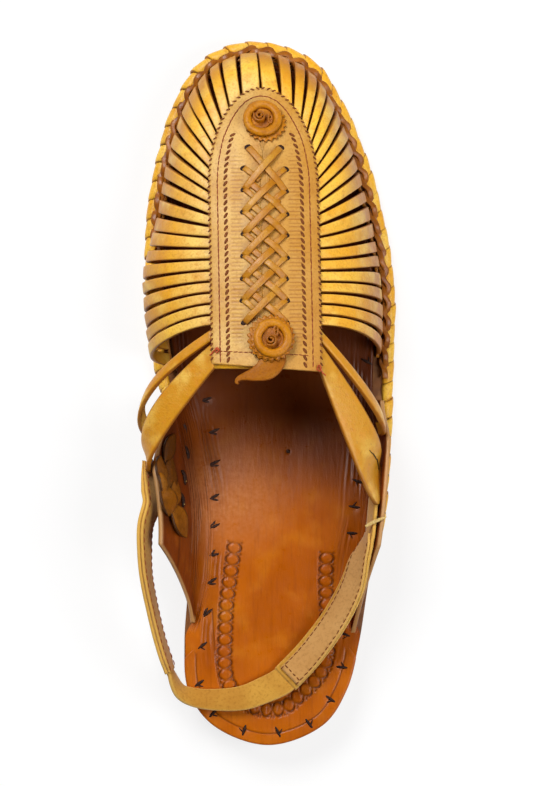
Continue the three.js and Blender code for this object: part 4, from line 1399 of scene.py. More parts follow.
def cage_strips(side, steps, luck):
    """Both edges of each fanned strip, from the throat to the toe."""
    rim_from, rim_to = edge_share(RIM_START[side], side), EDGE_SHARE[TOE]
    for i in range(STRIPS_A_SIDE):
        share = lerp(rim_from, rim_to, (i + 0.5) / STRIPS_A_SIDE)
        toe = float(ramp(i, STRIPS_A_SIDE - TOE_STRIPS, STRIPS_A_SIDE - 1))
        front = float(ramp(at_share(EDGE, share)[1], WIDER_FROM, WIDER_FULL)) * (1 - 0.4 * toe)
        half = (STRIP_RIM_WIDTH - STRIP_TOE_LESS * toe + STRIP_FRONT_MORE * front) / 2
        half = half * luck.uniform(*STRIP_WIDTH_LUCK)
        from_last = STRIPS_A_SIDE - 1 - i
        if from_last < 3:
            half = (STRIP_RIM_WIDTH - STRIP_TOE_LESS) / 2 * TOE_WIDTHS[side][2 - from_last]
        sway = luck.uniform(-STRIP_SWAY, STRIP_SWAY)
        pair = []
        for way in (-1, 1):
            at = share - SIGN[side] * (way * half + sway) / EDGE_LENGTH
            bulge = strip_bulge(side, float(at_share(EDGE, at)[1]))
            along = fan_along((i + (way + 1) / 2) / STRIPS_A_SIDE) - way * STRIP_SLIT / 2
            pair.append(cage_edge(side, along, at, bulge, steps))
        yield pair


def rear_strips(side, steps):
    """Both edges of the wide band and of the narrow strip that run back to an ear."""
    for pair in REAR_STRIPS[side]["pairs"]:
        yield [rear_edge(side, row, steps) for row in pair]


def pointed(inner, outer):
    """Both edges of a band, with the outer one drawn round to the inner one's end."""
    count = len(inner)
    close = lerp(outer[-1], inner[-1], np.linspace(0, 1, 16)[1:, None])
    path = evenly(np.concatenate([outer, close]), 90)
    for _ in range(60):
        path[1:-1] = (path[:-2] + 2 * path[1:-1] + path[2:]) / 4
    return evenly(inner, count), evenly(path[:-2], count)


def outward_face(middle, across):
    """Way off a strip on the outside of the upper."""
    along = np.gradient(middle, axis=0)
    face = unit(np.cross(along, across))
    out = np.column_stack([
        middle[:, 0] - centre(middle[:, 1]),
        np.maximum(middle[:, 1] - FAN_CENTRE, 0),
        np.full(len(middle), 20.0),
    ])
    return face * np.sign((face * out).sum(1))[:, None]


def make_band_slit(inner, outer):
    """Dark strip painted as the shade in the cut in the lateral band, ahead of where it goes into the ear,
    and the lip along its outer edge.
    """
    count = 12
    sheet = lerp(inner[:, None], outer[:, None], np.linspace(0, 1, 61)[None, :, None])
    aside = unit(outer - inner)
    out = outward_face((inner + outer) / 2, aside)
    ends = []
    for spot in BAND_SLIT:
        gap = np.hypot(sheet[..., 0] - spot[0], sheet[..., 1] - spot[1])
        ends.append(np.unravel_index(np.argmin(gap), gap.shape))
    rows, columns = (np.linspace(ends[0][k], ends[1][k], count).round().astype(int) for k in (0, 1))
    middle = evenly(sheet[rows, columns], count)
    face = out[rows]
    across = lying(middle, face)[1]
    half = SLIT_HALF * np.sin(np.pi * np.linspace(0.06, 0.94, count)) ** 0.5
    # Painted shade: a dark strip where the cut is.
    cut = band(middle + face * (UPPER_THICK / 2 + SLIT_LIFT), across, face, half, 0.3)
    skin_piece("band_slit", cut[:2], DARK_THREAD, "strip_leather", weld=0)

    last = slice(int(0.8 * len(outer)), None)
    rest, face = aside[last], out[last]
    lip = band(outer[last] + face * 0.7 + rest * 0.3, rest, face, 0.7, 1.0, 0.2)
    skin_piece("band_lip", lip[:2], TAB, "strip_leather", weld=0, tone=0.2)


def between(left, right):
    """Middle, way across and half width of a strip with these edges."""
    return (left + right) / 2, unit(right - left), np.linalg.norm(right - left, axis=1) / 2


def base_sheet():
    """Skin of the upper's base."""
    along = np.linspace(0, BASE_LENGTH, 90)
    share = np.linspace(0, 1, 7)[None]
    rows = []
    for sign, run in ((-1, along), (1, along[::-1][1:])):
        a, y = base_edge(run)
        foot = np.minimum(y, FAN_CENTRE)
        x = lerp(centre(foot)[:, None], (centre(y) + sign * a)[:, None], share)
        rows.append((x, lerp(foot[:, None], y[:, None], share)))
    x, y = (np.concatenate([row[k] for row in rows]) for k in (0, 1))
    return shell(on_base(x, y, UPPER_THICK / 2)[0], on_base(x, y, -UPPER_THICK / 2)[0])


def make_upper():
    pile = Pile()
    luck = chance(21)
    steps = 30
    share = np.linspace(0, 1, steps)
    for side in SIDES:
        for left, right in cage_strips(side, steps, luck):
            middle, across, half = between(left, right)
            half = half - STRIP_CLEAR
            face = outward_face(middle, across)
            roll = luck.uniform(-STRIP_ROLL, STRIP_ROLL) * np.sin(np.pi * share)
            across = unit(across + face * (roll / np.maximum(half, 1))[:, None])
            face = outward_face(middle, across)
            rate, start = luck.uniform(4, 9), luck.uniform(0, 6)
            wave = STRIP_WAVE * np.sin(share * rate + start) * np.sin(np.pi * share)
            strip = band(middle + face * wave[:, None], across, face, half, UPPER_THICK, STRIP_CROWN)
            far = strip[2]["along"]
            # Painted highlight near the base and painted shade towards the rim.
            pale = PAINTED_LIGHT_AT_BASE[side] * hump(far, PAINTED_LIGHT_RUN)
            deep = PAINTED_SHADE_AT_RIM[side] * ramp(far / far.max(), *PAINTED_SHADE_RUN)
            pile.add(strip, tone=luck.uniform(0, 1), mark=pale - deep)
        for number, (left, right) in enumerate(rear_strips(side, 44)):
            if number == 0:
                left, right = pointed(left, right)
                if side == "lateral":
                    make_band_slit(left, right)
            middle, across, half = between(left, right)
            strip = band(middle, across, outward_face(middle, across), half, UPPER_THICK, BAND_CROWN)
            pile.add(strip, tone=luck.uniform(0, 0.4), mark=BAND_DEEP)
    pile.add(base_sheet(), tone=0.3)
    share = rim_run(RIM_START["medial"], RIM_START["lateral"], 220)
    middle = on_sole(rim(share, UPPER_INSET), MARGIN_HEIGHT)
    upright = np.tile((0.0, 0.0, 1.0), (len(share), 1))
    pile.add(band(middle, upright, inward_at(share), MARGIN_HALF, MARGIN_THICK), edge=1.0)
    pile.piece("strip_cage", STRIP, "strip_leather", "upper", weld=0)


make_upper()


# Overlay panel with its pinked edge and pressed comb lines.
PANEL_PATH, PANEL_RUN = base_outline(PANEL_MARGIN)
PANEL_LENGTH = PANEL_RUN[-1]


def on_panel(x, y, lift):
    """Point over the base, where the throat end is a little lower on the lateral side."""
    slant = THROAT_SLANT * (x - THROAT_MIDDLE) * (1 - ramp(y, THROAT, THROAT + SLANT_RUN))
    return on_base(x, y + slant, lift)


def panel_at(run, inset, lift):
    """Point on the panel at a run around its edge from the medial throat corner, and inside that edge."""
    run = np.asarray(run, float)
    sign = np.where(run <= PANEL_LENGTH, -1.0, 1.0)
    along = np.where(run <= PANEL_LENGTH, run, 2 * PANEL_LENGTH - run)
    a, y = (np.interp(along, PANEL_RUN, PANEL_PATH[:, k]) for k in (0, 1))
    x = centre(y) + sign * a
    foot_y = np.minimum(y, FAN_CENTRE)
    foot_x = centre(foot_y)
    share = inset / np.maximum(np.hypot(x - foot_x, y - foot_y), 1e-6)
    return on_panel(lerp(x, foot_x, share), lerp(y, foot_y, share), lift)


def plateau(x, rise, fall):
    """Smooth rise to 1 and fall back to 0."""
    return ramp(x, *rise) * (1 - ramp(x, *fall))


def comb_lines(x, y):
    """Strength of the fine pressed lines beside the braid."""
    columns = plateau(x, *COMB_MEDIAL) + plateau(x, *COMB_LATERAL)
    line = np.clip(np.cos(TURN * y / COMB_PITCH) * 1.6 - 0.7, 0, 1)
    return columns * line * ramp(y, *COMB_RUN[0]) * (1 - ramp(y, *COMB_RUN[1]))


def panel_sheet():
    """Skin of the panel from its pinked edge inwards, with its comb lines and rubbed-down edge."""
    run = np.linspace(0, 2 * PANEL_LENGTH, 561)
    tooth = np.abs(((run / PINK_PITCH) % 1) - 0.5) * 2
    insets = np.concatenate([[0.0, 0.12, 0.35, 0.8, 1.5], np.linspace(2.4, 20.2, 34)])
    tops, floors, combs, edges = [], [], [], []
    for inset in insets:
        cut = inset + PINK_DEPTH * tooth * np.exp(-inset / PINK_REACH)
        drop = EDGE_DROP * np.exp(-inset / 0.3)
        top = panel_at(run, cut, PANEL_FACE - drop)[0]
        floor, normal = panel_at(run, cut, PANEL_FLOOR)
        comb = comb_lines(top[:, 0], top[:, 1])
        tops.append(top - normal * (COMB_DEPTH * comb)[:, None])
        floors.append(floor)
        combs.append(comb)
        edges.append(np.full(len(run), np.exp(-inset / 0.7)))
    skin = shell(*(np.array(rows).transpose(1, 0, 2) for rows in (tops, floors)))
    comb, edge = (np.array(rows).T.ravel() for rows in (combs, edges))
    return *skin, dict(mark=np.append(comb, np.zeros_like(comb)), edge=np.tile(edge, 2))


def make_panel():
    pile = Pile()
    pile.add(panel_sheet())
    middle = np.linspace(THROAT, FAN_CENTRE + 8, 120)[:, None]
    x, y = np.broadcast_arrays(centre(middle) + np.linspace(-1.6, 1.6, 5)[None], middle)
    pile.add(shell(on_panel(x, y, PANEL_FACE)[0], on_panel(x, y, PANEL_FLOOR)[0]))
    pile.piece("vamp_overlay", PANEL, "panel_leather", "vamp_panel", weld=0)

    for name, inset, pitch, material, size, slant in (
        ("panel_stitches", 3.7, 2.3, RED_THREAD, (2.7, 0.5, 0.32), 0.0),
        ("panel_zigzag", 6.7, 2.5, BROWN_THREAD, (2.9, 1.15, 0.5), 0.6),
        # Painted shade: dark dashes in the notches of the pinked edge.
        ("panel_pinking", 0.5, PINK_PITCH, BROWN_THREAD, (1.8, 0.8, 0.25), 0.9),
    ):
        at = np.arange(2.0, 2 * PANEL_LENGTH - 2.0, pitch)
        at = at if inset < 6 else at[np.abs(at - PANEL_LENGTH) > 26]
        place, face = panel_at(at, inset, PANEL_FACE + 0.05)
        before, after = (panel_at(at + step, inset, PANEL_FACE)[0] for step in (-0.4, 0.4))
        along = unit(after - before)
        lean = slant * np.where(at < PANEL_LENGTH, -1.0, 1.0)
        along = unit(along + np.cross(face, along) * lean[:, None])
        laid(
            name, (place, along, face), STITCH, material, "panel_leather",
            size=size, wobble=0.12, seed=int(inset * 10),
        )

    x = np.arange(-17.4, 16.4, 1.9) + centre(THROAT_SEAM)
    place, face = on_panel(x, np.full(len(x), THROAT_SEAM), PANEL_FACE + 0.03)
    laid(
        "throat_stitches", (place, (1.0, THROAT_SLANT, 0.0), face), STITCH, RED_THREAD, "panel_leather",
        size=(2.1, 0.42, 0.3), wobble=0.1, seed=3,
    )
    make_knots()


def make_knots():
    """Red thread tied off at both throat corners of the panel."""
    pile = Pile()
    share = np.linspace(0, 1, 60)
    turn = np.linspace(0, KNOT_TURNS * TURN, 60)
    reach = lerp(1.1, 0.4, share)
    trail = 2.6 * np.maximum(share - 0.7, 0) / 0.3
    for x, y, sign in THROAT_KNOTS:
        path_x = x + sign * trail + 0.7 * reach * np.cos(turn)
        path_y = y + 1.2 * reach * np.sin(turn) - 0.8 * trail
        place, face = on_panel(path_x, path_y, PANEL_FACE + 0.35 + 0.5 * np.abs(np.sin(turn)))
        pile.add(band(*lying(place, face), 0.24, 0.42)[:2])
    pile.piece("throat_knots", KNOT_THREAD, "panel_leather", weld=0)


make_panel()


# Braid: two thongs laced through the holes, over and under each other down the panel.
def thong_path(points, lifts, steps=22):
    """Run of a thong over the panel, with the ways across and off it."""
    path = evenly(np.asarray(points, float), steps)
    lift = np.interp(np.linspace(0, 1, steps), np.linspace(0, 1, len(lifts)), lifts)
    for _ in range(2):
        lift[1:-1] = (lift[:-2] + 2 * lift[1:-1] + lift[2:]) / 4
    return lying(*on_base(path[:, 0], path[:, 1], PANEL_FACE + GAP + 0.5 + lift))


def make_braid():
    pile = Pile()
    luck = chance(31)
    holes = []
    for number, row in enumerate(BRAID_ROWS):
        for sign, thong in THONGS.items():
            x = thong["hole"][0] + luck.uniform(-0.3, 0.3)
            y = row + thong["hole"][1] + luck.uniform(-0.3, 0.3)
            holes.append((x - sign * 0.3, y, sign))
            if number:
                stub = thong_path([(x, y), (x + sign * 5.6, y - 5.0)], STUB_LIFTS, 10)
                pile.add(band(*stub, THONG_WIDTH / 2 * 0.8, 0.9, 0.1), tone=luck.uniform(0.1, 0.6))
            if number > BRAID_LAST:
                continue
            end, lifts = (x + thong["reach"][0], y + thong["reach"][1]), thong["lifts"]
            if number == BRAID_LAST:
                end, lifts = thong["last_end"], thong["last_lifts"]
            path = thong_path([(x, y), end], lifts)
            pile.add(band(*path, THONG_WIDTH / 2, 1.0, 0.12), tone=luck.uniform(0.0, 0.5))
    pile.piece("braid_thongs", THONG, "strip_leather", "braid", weld=0)

    holes = np.array(holes + TOP_HOLES)
    place, face = on_base(holes[:, 0], holes[:, 1], PANEL_FACE + 0.02)
    along = np.column_stack([holes[:, 2], np.full(len(holes), 0.5), np.zeros(len(holes))])
    # Painted shade: dark dots where the thongs go into their holes.
    laid(
        "braid_holes", (place, along, face), DOT, DARK_THREAD, "panel_leather", size=(3.0, 2.2, 0.35), seed=5
    )
    nails = np.array(BRAID_NAILS)
    place, face = on_base(nails[:, 0], nails[:, 1], PANEL_FACE + 0.1)
    laid("braid_nails", (place, (1, 0, 0), face), DOT, DARK_THREAD, "panel_leather", size=(1.2, 1.2, 0.7))


make_braid()


# Rosettes: serrated discs, a broad flat ring coiled on them and rolled curls in its hollow.
def make_rosette(name, across, forward, disc, coil, lift, slip, facing, seed):
    pile = Pile()
    luck = chance(seed)
    seat, normal = on_base(across, forward, PANEL_FACE + GAP + lift)
    side = unit(np.cross((0.0, 1.0, 0.0), normal))
    ahead = np.cross(normal, side)

    def stand(x, y, z):
        x, y, z = np.broadcast_arrays(x, y, z)
        return seat + x[..., None] * side + y[..., None] * ahead + z[..., None] * normal

    angle = np.linspace(0, TURN, 133)[:-1]
    for size, height, turn, shift in ((disc, 0.0, 0.0, slip), (disc * 0.93, 0.75, 0.07, (0.0, 0.0))):
        bite = TOOTH_DEPTH * np.abs(TEETH * (angle + turn) / TURN % 1 - 0.5) * 2
        rings = [*DISC_RINGS, (size - 0.8, 0.95, 1.0)]
        loops = []
        for inset, z, _ in rings:
            reach = size - inset - bite * max(1 - inset / 1.5, 0)
            rise = z + height + 0.12 * np.sin(3 * angle + seed)
            loops.append(stand(shift[0] + reach * np.cos(angle), shift[1] + reach * np.sin(angle), rise))
        edge = np.repeat([row[2] for row in rings], len(angle))
        pile.add(tube(loops), tone=luck.uniform(0.2, 0.6), edge=edge)

    share = np.linspace(0, 1, 120)
    turn = 1.9 + TURN * 1.12 * share
    grow = lerp(-0.35, 0.3, share)
    ends = np.minimum(1, 12 * np.minimum(share, 1 - share) + 0.45)
    loops = []
    for reach, height, _ in COIL_SECTION:
        out = (5.3 + (reach - 5.3) * ends + grow) * coil / 7.6
        tall = 1.5 + (height - 1.5) * ends + 0.12 * np.sin(2.3 * turn + seed)
        loops.append(stand(out * np.cos(turn), out * np.sin(turn), tall))
    edge = np.tile([row[2] for row in COIL_SECTION], len(share))
    pile.add(tube(np.array(loops).transpose(1, 0, 2)), tone=0.75, edge=edge)

    share = np.linspace(0, 1, 46)
    for heading, reach, size, last, turns, tall, wide, long in CURLS:
        heading += facing
        spin = heading + TURN * turns * share
        roll = lerp(size, last, share)
        x = reach * math.cos(heading) + wide * roll * np.cos(spin)
        y = reach * math.sin(heading) + long * roll * np.sin(spin)
        foot, lip = stand(x, y, 1.3), stand(x * 1.06, y * 1.06, 1.5 + tall + 0.5 * share)
        middle, upright, half = between(foot, lip)
        face = unit(np.cross(unit(np.gradient(foot, axis=0)), upright))
        pile.add(band(middle, upright, face, half, 0.75), tone=luck.uniform(0.5, 1.0))
    pile.piece(name + "_flower", ROSETTE, "strip_leather", name, weld=0)


for number, (name, *row) in enumerate(ROSETTES):
    make_rosette(name, *row, 41 + number)


def make_tail():
    path = spline(TAIL, 12)
    place, face = on_base(path[:, 0], path[:, 1], PANEL_FACE + GAP + path[:, 2] + 0.7)
    along = unit(np.gradient(place, axis=0))
    across = unit(np.cross(face, along))
    curl = np.radians(TAIL_CURL) * np.linspace(0, 1, len(path)) ** 2
    across = unit(across * np.cos(curl)[:, None] + face * np.sin(curl)[:, None])
    tab = band(place, across, unit(np.cross(along, across)), path[:, 3] / 2, 1.3, 0.15)
    skin_piece("throat_tab", tab, TAB, "strap_leather", "throat_tail", tone=0.4)


make_tail()


# Rim: brown ribbon inside the edge and the lacing around it.
def make_rim():
    share = rim_run(*RIBBON_RUN, 420)
    far = share * EDGE_LENGTH
    wave = 0.28 * np.sin(TURN * far / RIBBON_WAVE) + 0.15 * np.sin(TURN * far / 17 + 1)
    rise = RIBBON_HEIGHT + 0.2 * np.sin(TURN * far / RIBBON_WAVE + 1.3)
    middle = on_sole(rim(share, RIBBON_INSET + wave), rise)
    along = unit(np.gradient(middle, axis=0))
    lean = unit(inward_at(share) + np.array([0.0, 0.0, 0.25]))
    face = unit(np.cross(lean, along))
    face = face * np.sign(face[:, 2:])
    pile = Pile()
    for start in (0, math.pi):
        turn = start + TURN * far / RIBBON_TWIST
        strand = middle + STRAND_OFF * (lean * np.cos(turn)[:, None] + face * np.sin(turn)[:, None])
        pile.add(band(strand, lean, face, STRAND_HALF, STRAND_THICK, 0.2))
    pile.piece("rim_band", RIBBON, "ribbon_leather", "rim_ribbon", weld=0)

    share = rim_run(*LACING_RUN, SCALES)
    place = on_sole(rim(share, 0), 0)
    climb = np.gradient(place[:, 2]) / np.gradient(share * EDGE_LENGTH)
    along = unit(np.column_stack([at_share(EDGE_ALONG, share), climb]))
    luck = chance(51)
    scale = scale_shape(np.mean(np.diff(share)) * EDGE_LENGTH * SCALE_LAP, SCALE_SLANT)
    tone, each = luck.uniform(0.1, 0.9, SCALES), luck.uniform(0.94, 1.06, SCALES)
    laid(
        "edge_lacing", (place, along, (0, 0, 1)), scale, STRIP, "strip_leather", "edge_plait",
        wobble=0.05, seed=6, tone=tone, each=each,
    )


make_rim()


# Ears with creased feet, and the thong ends and thread knots that are woven through the medial one.
def make_ear(side):
    ear = EARS[side]
    forward, up = np.linspace(ear["rear"], ear["front"], 120)[:, None], np.linspace(0.03, 1, 26)[None]
    crease = np.sin(up * 34 + 1.5 * waves(forward, up * 30, 22, 61)) * (1 - ramp(up, 0.1, 0.55))
    ripple = 0.14 * crease + 0.15 * waves(forward, up * 20, 24, 62)
    half = EAR_HALF * (1 - 0.35 * ramp(up, 0.93, 1.0))
    inner = on_ear(side, forward, up, ripple * (1 - ramp(up, 0.9, 1.0)) - half)[0]
    outer = on_ear(side, forward, up, half + 0 * forward)[0]
    rear = 1 - 6 * ramp(forward, ear["rear"], ear["rear"] + 60)
    edge = np.clip(np.maximum(up, rear), 0, 1)
    # Painted shade: darker low on the ear towards its front, and on the medial one behind the woven leaves.
    shade = (1 - ramp(up, 0.05, 0.6)) * ramp(forward, -62, -34)
    if side == "medial":
        shade = np.maximum(shade, 0.9 * ramp(up, 0.45, 0.65) * ramp(forward, -58, -48))
    skin_piece(
        f"ear_flap_{side}", shell(outer, inner), EAR, "insole_leather", f"ear_{side}",
        edge=np.tile(edge.ravel(), 2), mark=np.tile(shade.ravel(), 2),
    )


def make_leaves():
    """Leaves of thong on the inner face of the medial ear."""
    pile = Pile()
    share = np.linspace(0, 1, 36)
    for rows, width, lift, tone in WOVEN_LEAVES:
        half = width / 2 * np.maximum(np.sin(math.pi * share), 0.03) ** 0.85
        raised = -(EAR_HALF + 0.8) - lift * np.sin(math.pi * share)
        path = evenly(spline(rows, 12), len(share))
        place = lying(*on_ear("medial", path[:, 0], path[:, 1], raised))
        points, faces, marks = band(*place, half, LEAF_THICK, 0.1)
        # Wide near-black edges: the leaves' cut edges and painted shade between them.
        marks["edge"] = ramp(marks["edge"], 0.5, 0.9)
        pile.add((points, faces, marks), tone=tone)
    pile.piece("woven_thongs", WOVEN, "strap_leather", weld=0)


def make_ear_knots():
    """Knots of three short threads across the medial ear, with pale dots of painted glint at the rear ones.
    """
    count = len(EAR_KNOTS)
    spots = np.repeat(np.array(EAR_KNOTS), 3, axis=0)
    spots[1::3, 0] += 0.8
    spots[2::3, 0] -= 0.9
    lean = np.tile([(0.0, 1.0, 0.0), (0.0, 1.0, 0.5), (0.0, 1.0, -0.7)], (count, 1))
    place, out = on_ear("medial", spots[:, 0], spots[:, 1], -EAR_HALF - 0.4)
    laid(
        "ear_threads", (place, lean, -out), STITCH, DARK_THREAD, "insole_leather",
        size=(6.2, 2.4, 1.0), wobble=0.2, seed=9, each=np.tile([1.0, 0.8, 0.6], count),
    )
    # Pale dots: painted glints by the rear knots.
    ends = np.array(EAR_KNOTS)[2:]
    place, out = on_ear("medial", ends[:, 0] - 1.6, ends[:, 1], -EAR_HALF - 0.5)
    laid(
        "ear_thread_ends", (place, (0, 1, 0), -out), DOT, PALE_FIBRE, "insole_leather", size=(0.7, 0.8, 0.8)
    )


def make_bend(side):
    """Leather that turns up from the insole into an ear, and lies flat behind it to the sole's edge."""
    ear = EARS[side]
    forward = np.concatenate([np.linspace(BEND_REAR, -72, 80), np.linspace(-71.4, ear["front"] - 0.5, 120)])
    share = edge_share(forward, side)
    behind = 1 - ramp(forward, -97, -88)
    tall = ear["height"] * ear_share(ear, forward)
    join = np.minimum(BEND_RISE[side], 0.6 * tall)
    sink = 0.4 * ramp(-forward, 101, -BEND_REAR)

    def flat(inset, rise):
        return on_sole(rim(share, inset), INSOLE_THICK + rise - sink)

    low = flat(INSOLE_INSET + 0.6 + 0.3 * join, 0.05)
    corner = flat(lerp(4.4, 2.6, behind), 0.05)
    high = on_ear(side, np.maximum(forward, ear["rear"]), join / tall, -EAR_HALF - 0.12)[0]
    high = lerp(high, flat(0.35, -0.1), behind[:, None])
    t = np.linspace(0, 1, 40)[None, :, None]
    face = (1 - t) ** 2 * low[:, None] + 2 * t * (1 - t) * corner[:, None] + t * t * high[:, None]
    normal = unit(np.cross(np.gradient(face, axis=0), np.gradient(face, axis=1)))
    normal = normal * np.sign(normal[..., 2:])
    t, forward, standing = t[..., 0], forward[:, None], 1 - behind[:, None]
    run = t * lerp(4, 15, join / BEND_RISE[side])[:, None]
    drift = waves(run, forward * 0.2, 7, 63)
    patches = np.clip(waves(run, forward * 0.3, 12, 64) + 0.9, 0, 1)
    crease = np.sin(run * 3.8 + 1.7 * drift) * patches * np.sin(np.pi * t) ** 0.6 * standing
    face = face + normal * (0.3 * crease)[..., None]
    back = face - normal * lerp(0.9, 2.9, behind)[:, None, None]
    # Painted shade in the grooves of the creases, and deeper up the turned-up leather.
    groove = ramp(-crease, 0.1, 0.9) * 0.9
    shade = (0.3 + 0.7 * t) * standing
    skin_piece(
        f"insole_bend_{side}", shell(face, back), BEND, "insole_leather",
        mark=np.tile(groove.ravel(), 2), edge=np.tile(shade.ravel(), 2),
    )


for side in SIDES:
    make_ear(side)
make_leaves()
make_ear_knots()
for side in SIDES:
    make_bend(side)


# Slingback strap in three lengths.
def free_rows(rows):
    """Rows of a strap where it hangs free, with the tilt in radians."""
    return [(x, y, z, math.radians(tilt)) for x, y, z, tilt in rows]


def ear_rows(side, rows):
    """Rows of a strap where it lies on an ear."""
    off = EAR_HALF + 2 * GAP + STRAP_THICK / 2
    out = []
    for forward, up, more in rows:
        place, normal = on_ear(side, forward, up, EARS[side]["face"] * (off + more))
        out.append((*place, math.asin(float(np.clip(-normal[2], -1, 1)))))
    return out


def strap_run(rows, per=14):
    """Middle, upright, outer face and way along a strap."""
    rows = np.asarray(rows, float)
    place = spline(rows[:, :3], per)
    tilt = np.interp(np.linspace(0, len(rows) - 1, len(place)), np.arange(len(rows)), rows[:, 3])
    along = unit(np.gradient(place, axis=0))
    outward = unit(np.cross(along, (0.0, 0.0, 1.0)))
    upright = unit(np.cross(outward, along))
    tall = unit(upright * np.cos(tilt)[:, None] + outward * np.sin(tilt)[:, None])
    return place, tall, unit(np.cross(tall, along)), along


def strap_seams(name, run, offsets, pitch, material, seed):
    """A row of stitches along each edge of a strap's outer face."""
    far = run_length(run[0])
    at = np.arange(pitch, far[-1] - pitch / 2, pitch)
    place, tall, face, along = (
        np.stack([np.interp(at, far, table[:, k]) for k in range(3)], 1) for table in run
    )
    for number, offset in enumerate(offsets):
        laid(
            f"{name}_{number}", (place + tall * offset + face * SEAM_LIFT, along, face), STITCH, material,
            "strap_leather", size=(pitch * 0.85, 0.45, 0.4), wobble=0.1, seed=seed,
        )


def make_medial_strap():
    run = strap_run(ear_rows("medial", MEDIAL_ON_EAR) + free_rows(MEDIAL_RUN))
    place, tall, face, _ = run
    far = run_length(place)
    sway = 0.25 * np.sin(far / 7.0)
    thin = lerp(0.35, 1, ramp(far, 0, 12))
    narrow = 1.5 * ramp(far, far[-1] - 7, far[-1])
    pile = Pile()
    for way, off, half, share, thick, tone in (
        (-1, 0.7, 6.25, 0.4, 1.35, 0.7),
        (1, 0.65, 5.7, 0.3, 1.25, 0.3),
    ):
        middle = place + way * (face * off * thin[:, None])
        half = half + sway * share - narrow
        pile.add(band(middle, tall, way * face, half, thick * thin, 0.12), tone=tone)
    pile.piece("strap_medial_layers", SUEDE, "strap_leather", "strap_medial", weld=0)
    strap_seams("strap_medial_stitches", run, (-4.6, 4.6), 3.0, RED_THREAD, 71)


def make_heel_strap():
    place, tall, face, _ = strap_run(free_rows(HEEL_RUN))
    far = run_length(place)
    half = np.interp(far / far[-1], *zip(*HEEL_STRAP_HALF))
    length = band(place, tall, -face, half, 1.7, 0.15)
    skin_piece("strap_heel_length", length, SUEDE, "strap_leather", "strap_heel", tone=0.4)


def make_lateral_strap():
    run = strap_run(free_rows(LATERAL_RUN) + ear_rows("lateral", LATERAL_ON_EAR))
    place, tall, face, _ = run
    base = band(place - face * 0.6, tall, face, 6.25, 1.5, 0.0)
    skin_piece("strap_lateral_base", base, SUEDE, "strap_leather", "strap_lateral", tone=0.7)
    keep = np.flatnonzero(place[:, 1] < OVERLAY_END)[2:]
    middle = (place + face * 0.75 + tall * OVERLAY_SHIFT)[keep]
    far = run_length(middle)
    half = 5.3 - 1.8 * ramp(far, far[-1] - 5, far[-1]) ** 2
    overlay = band(middle, tall[keep], face[keep], half, 1.1, 0.2)
    skin_piece("strap_lateral_overlay", overlay, TAN_SUEDE, "strap_leather", tone=0.6)
    offsets = (-4.5 + OVERLAY_SHIFT, 4.5 + OVERLAY_SHIFT)
    stitched = [part[: keep[-1]] for part in run]
    strap_seams("strap_lateral_stitches", stitched, offsets, 2.6, BROWN_THREAD, 73)
    step = np.linspace(-3.4, 3.4, 4) + OVERLAY_SHIFT
    spots = place[4] + tall[4] * step[:, None] + face[4] * SEAM_LIFT
    laid(
        "strap_lateral_stitches_end", (spots, tall[4], face[4]), STITCH, BROWN_THREAD, "strap_leather",
        size=(2.1, 0.55, 0.45), wobble=0.1, seed=74,
    )


def make_fibre():
    """Loose pale fibre from the strap's edge over the top of the lateral ear."""
    path = evenly(spline(FIBRE, 12), 30)
    half = 0.75 * np.sin(np.pi * np.linspace(0.15, 0.97, 30)) ** 0.7
    fibre = band(*lying(path, (0.0, 0.0, 1.0)), half, 0.7, 0.1)
    skin_piece("strap_fibre", fibre[:2], PALE_FIBRE, "strap_leather", weld=0)


make_medial_strap()
make_heel_strap()
make_lateral_strap()
make_fibre()


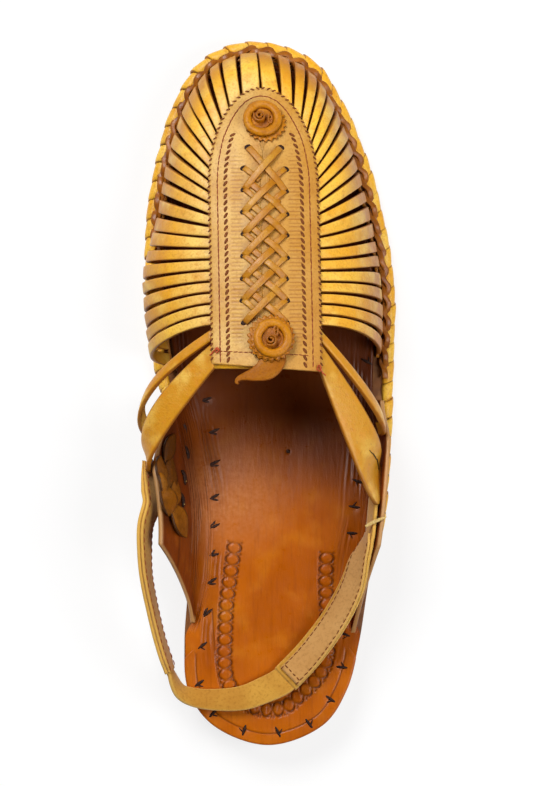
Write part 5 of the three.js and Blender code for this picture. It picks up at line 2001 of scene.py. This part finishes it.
# Thread marks around the insole, each of two strokes, and the nail in its middle.
def make_thread_marks():
    luck = chance(81)
    places, along, sizes = [], [], []
    for x, y, turn in THREAD_MARKS:
        angle = math.radians(turn)
        turned = luck.choice((-1, 1))
        bent = (0.5, 2.3, 0.8) if x < -20 and y > -90 else (1.0, 1.0, 0.5)
        for swing, back, size in ((0.0, 2.5, 1.0), bent):
            way = angle + swing * turned
            reach = 2.5 * size
            places.append((
                x - back * math.cos(angle) + reach * math.cos(way),
                y - back * math.sin(angle) + reach * math.sin(way),
            ))
            along.append((math.cos(way), math.sin(way), 0))
            sizes.append(size)
    up = (0, 0, 1)
    spots = (on_sole(np.array(places), INSOLE_THICK - 0.05), along, up)
    laid(
        "insole_threads", spots, STITCH, DARK_THREAD, "insole_leather",
        size=(5.5, 1.1, 0.55), wobble=0.12, seed=8, each=sizes,
    )
    nail = (on_sole(np.array([NAIL_HOLE]), INSOLE_THICK - 0.4), (1, 0, 0), up)
    laid("insole_nail", nail, DOT, DARK_THREAD, "insole_leather", size=(1.7, 1.7, 1.0))


make_thread_marks()


# Studio: pale floor, soft light from above and the camera straight over the sandal.
def direction_turn(aim):
    """Turn that looks along aim with the toe end of the picture upwards."""
    back = -unit(np.asarray(aim, float))
    right = unit(np.cross((0.0, 1.0, 0.0), back))
    up = np.cross(back, right)
    return Matrix(np.column_stack([right, up, back]).tolist()).to_euler()


def stand_object(name, data, place, target):
    """Lamp or camera at a place, turned to a target."""
    obj = bpy.data.objects.new(name, data)
    obj.location = place
    obj.rotation_euler = direction_turn(np.array(target) - np.array(place))
    bpy.context.scene.collection.objects.link(obj)
    return obj


def make_studio():
    steps = np.linspace(-FLOOR_REACH, FLOOR_REACH, 9)
    mesh = bpy.data.meshes.new("floor")
    mesh.from_pydata([(x, y, FLOOR_LEVEL) for y in steps for x in steps], [], grid_faces(9, 9))
    mesh.materials.append(studio_floor())
    floor = bpy.data.objects.new("floor", mesh)
    bpy.context.scene.collection.objects.link(floor)

    world = bpy.data.worlds.new("pale room")
    world.use_nodes = True
    new, link = world.node_tree.nodes.new, world.node_tree.links.new
    sky = world.node_tree.nodes["Background"]
    heights = new("ShaderNodeSeparateXYZ")
    link(new("ShaderNodeTexCoord").outputs["Generated"], heights.inputs[0])
    fade = new("ShaderNodeMapRange")
    for socket, number in SKY_FADE.items():
        fade.inputs[socket].default_value = number
    link(heights.outputs["Z"], fade.inputs["Value"])
    link(fade.outputs["Result"], sky.inputs["Strength"])
    bpy.context.scene.world = world
    for name, place, size, power in LAMPS:
        light = bpy.data.lights.new(name, "AREA")
        light.size = size
        light.energy = power
        stand_object(name, light, place, (0.0, 0.0, 0.0))
    bpy.context.scene.view_settings.view_transform = "Standard"

    camera = bpy.data.cameras.new("above")
    camera.lens = CAMERA_LENS
    camera.sensor_width = CAMERA_SENSOR
    bpy.context.scene.camera = stand_object("above", camera, CAMERA_PLACE, CAMERA_TARGET)


make_studio()
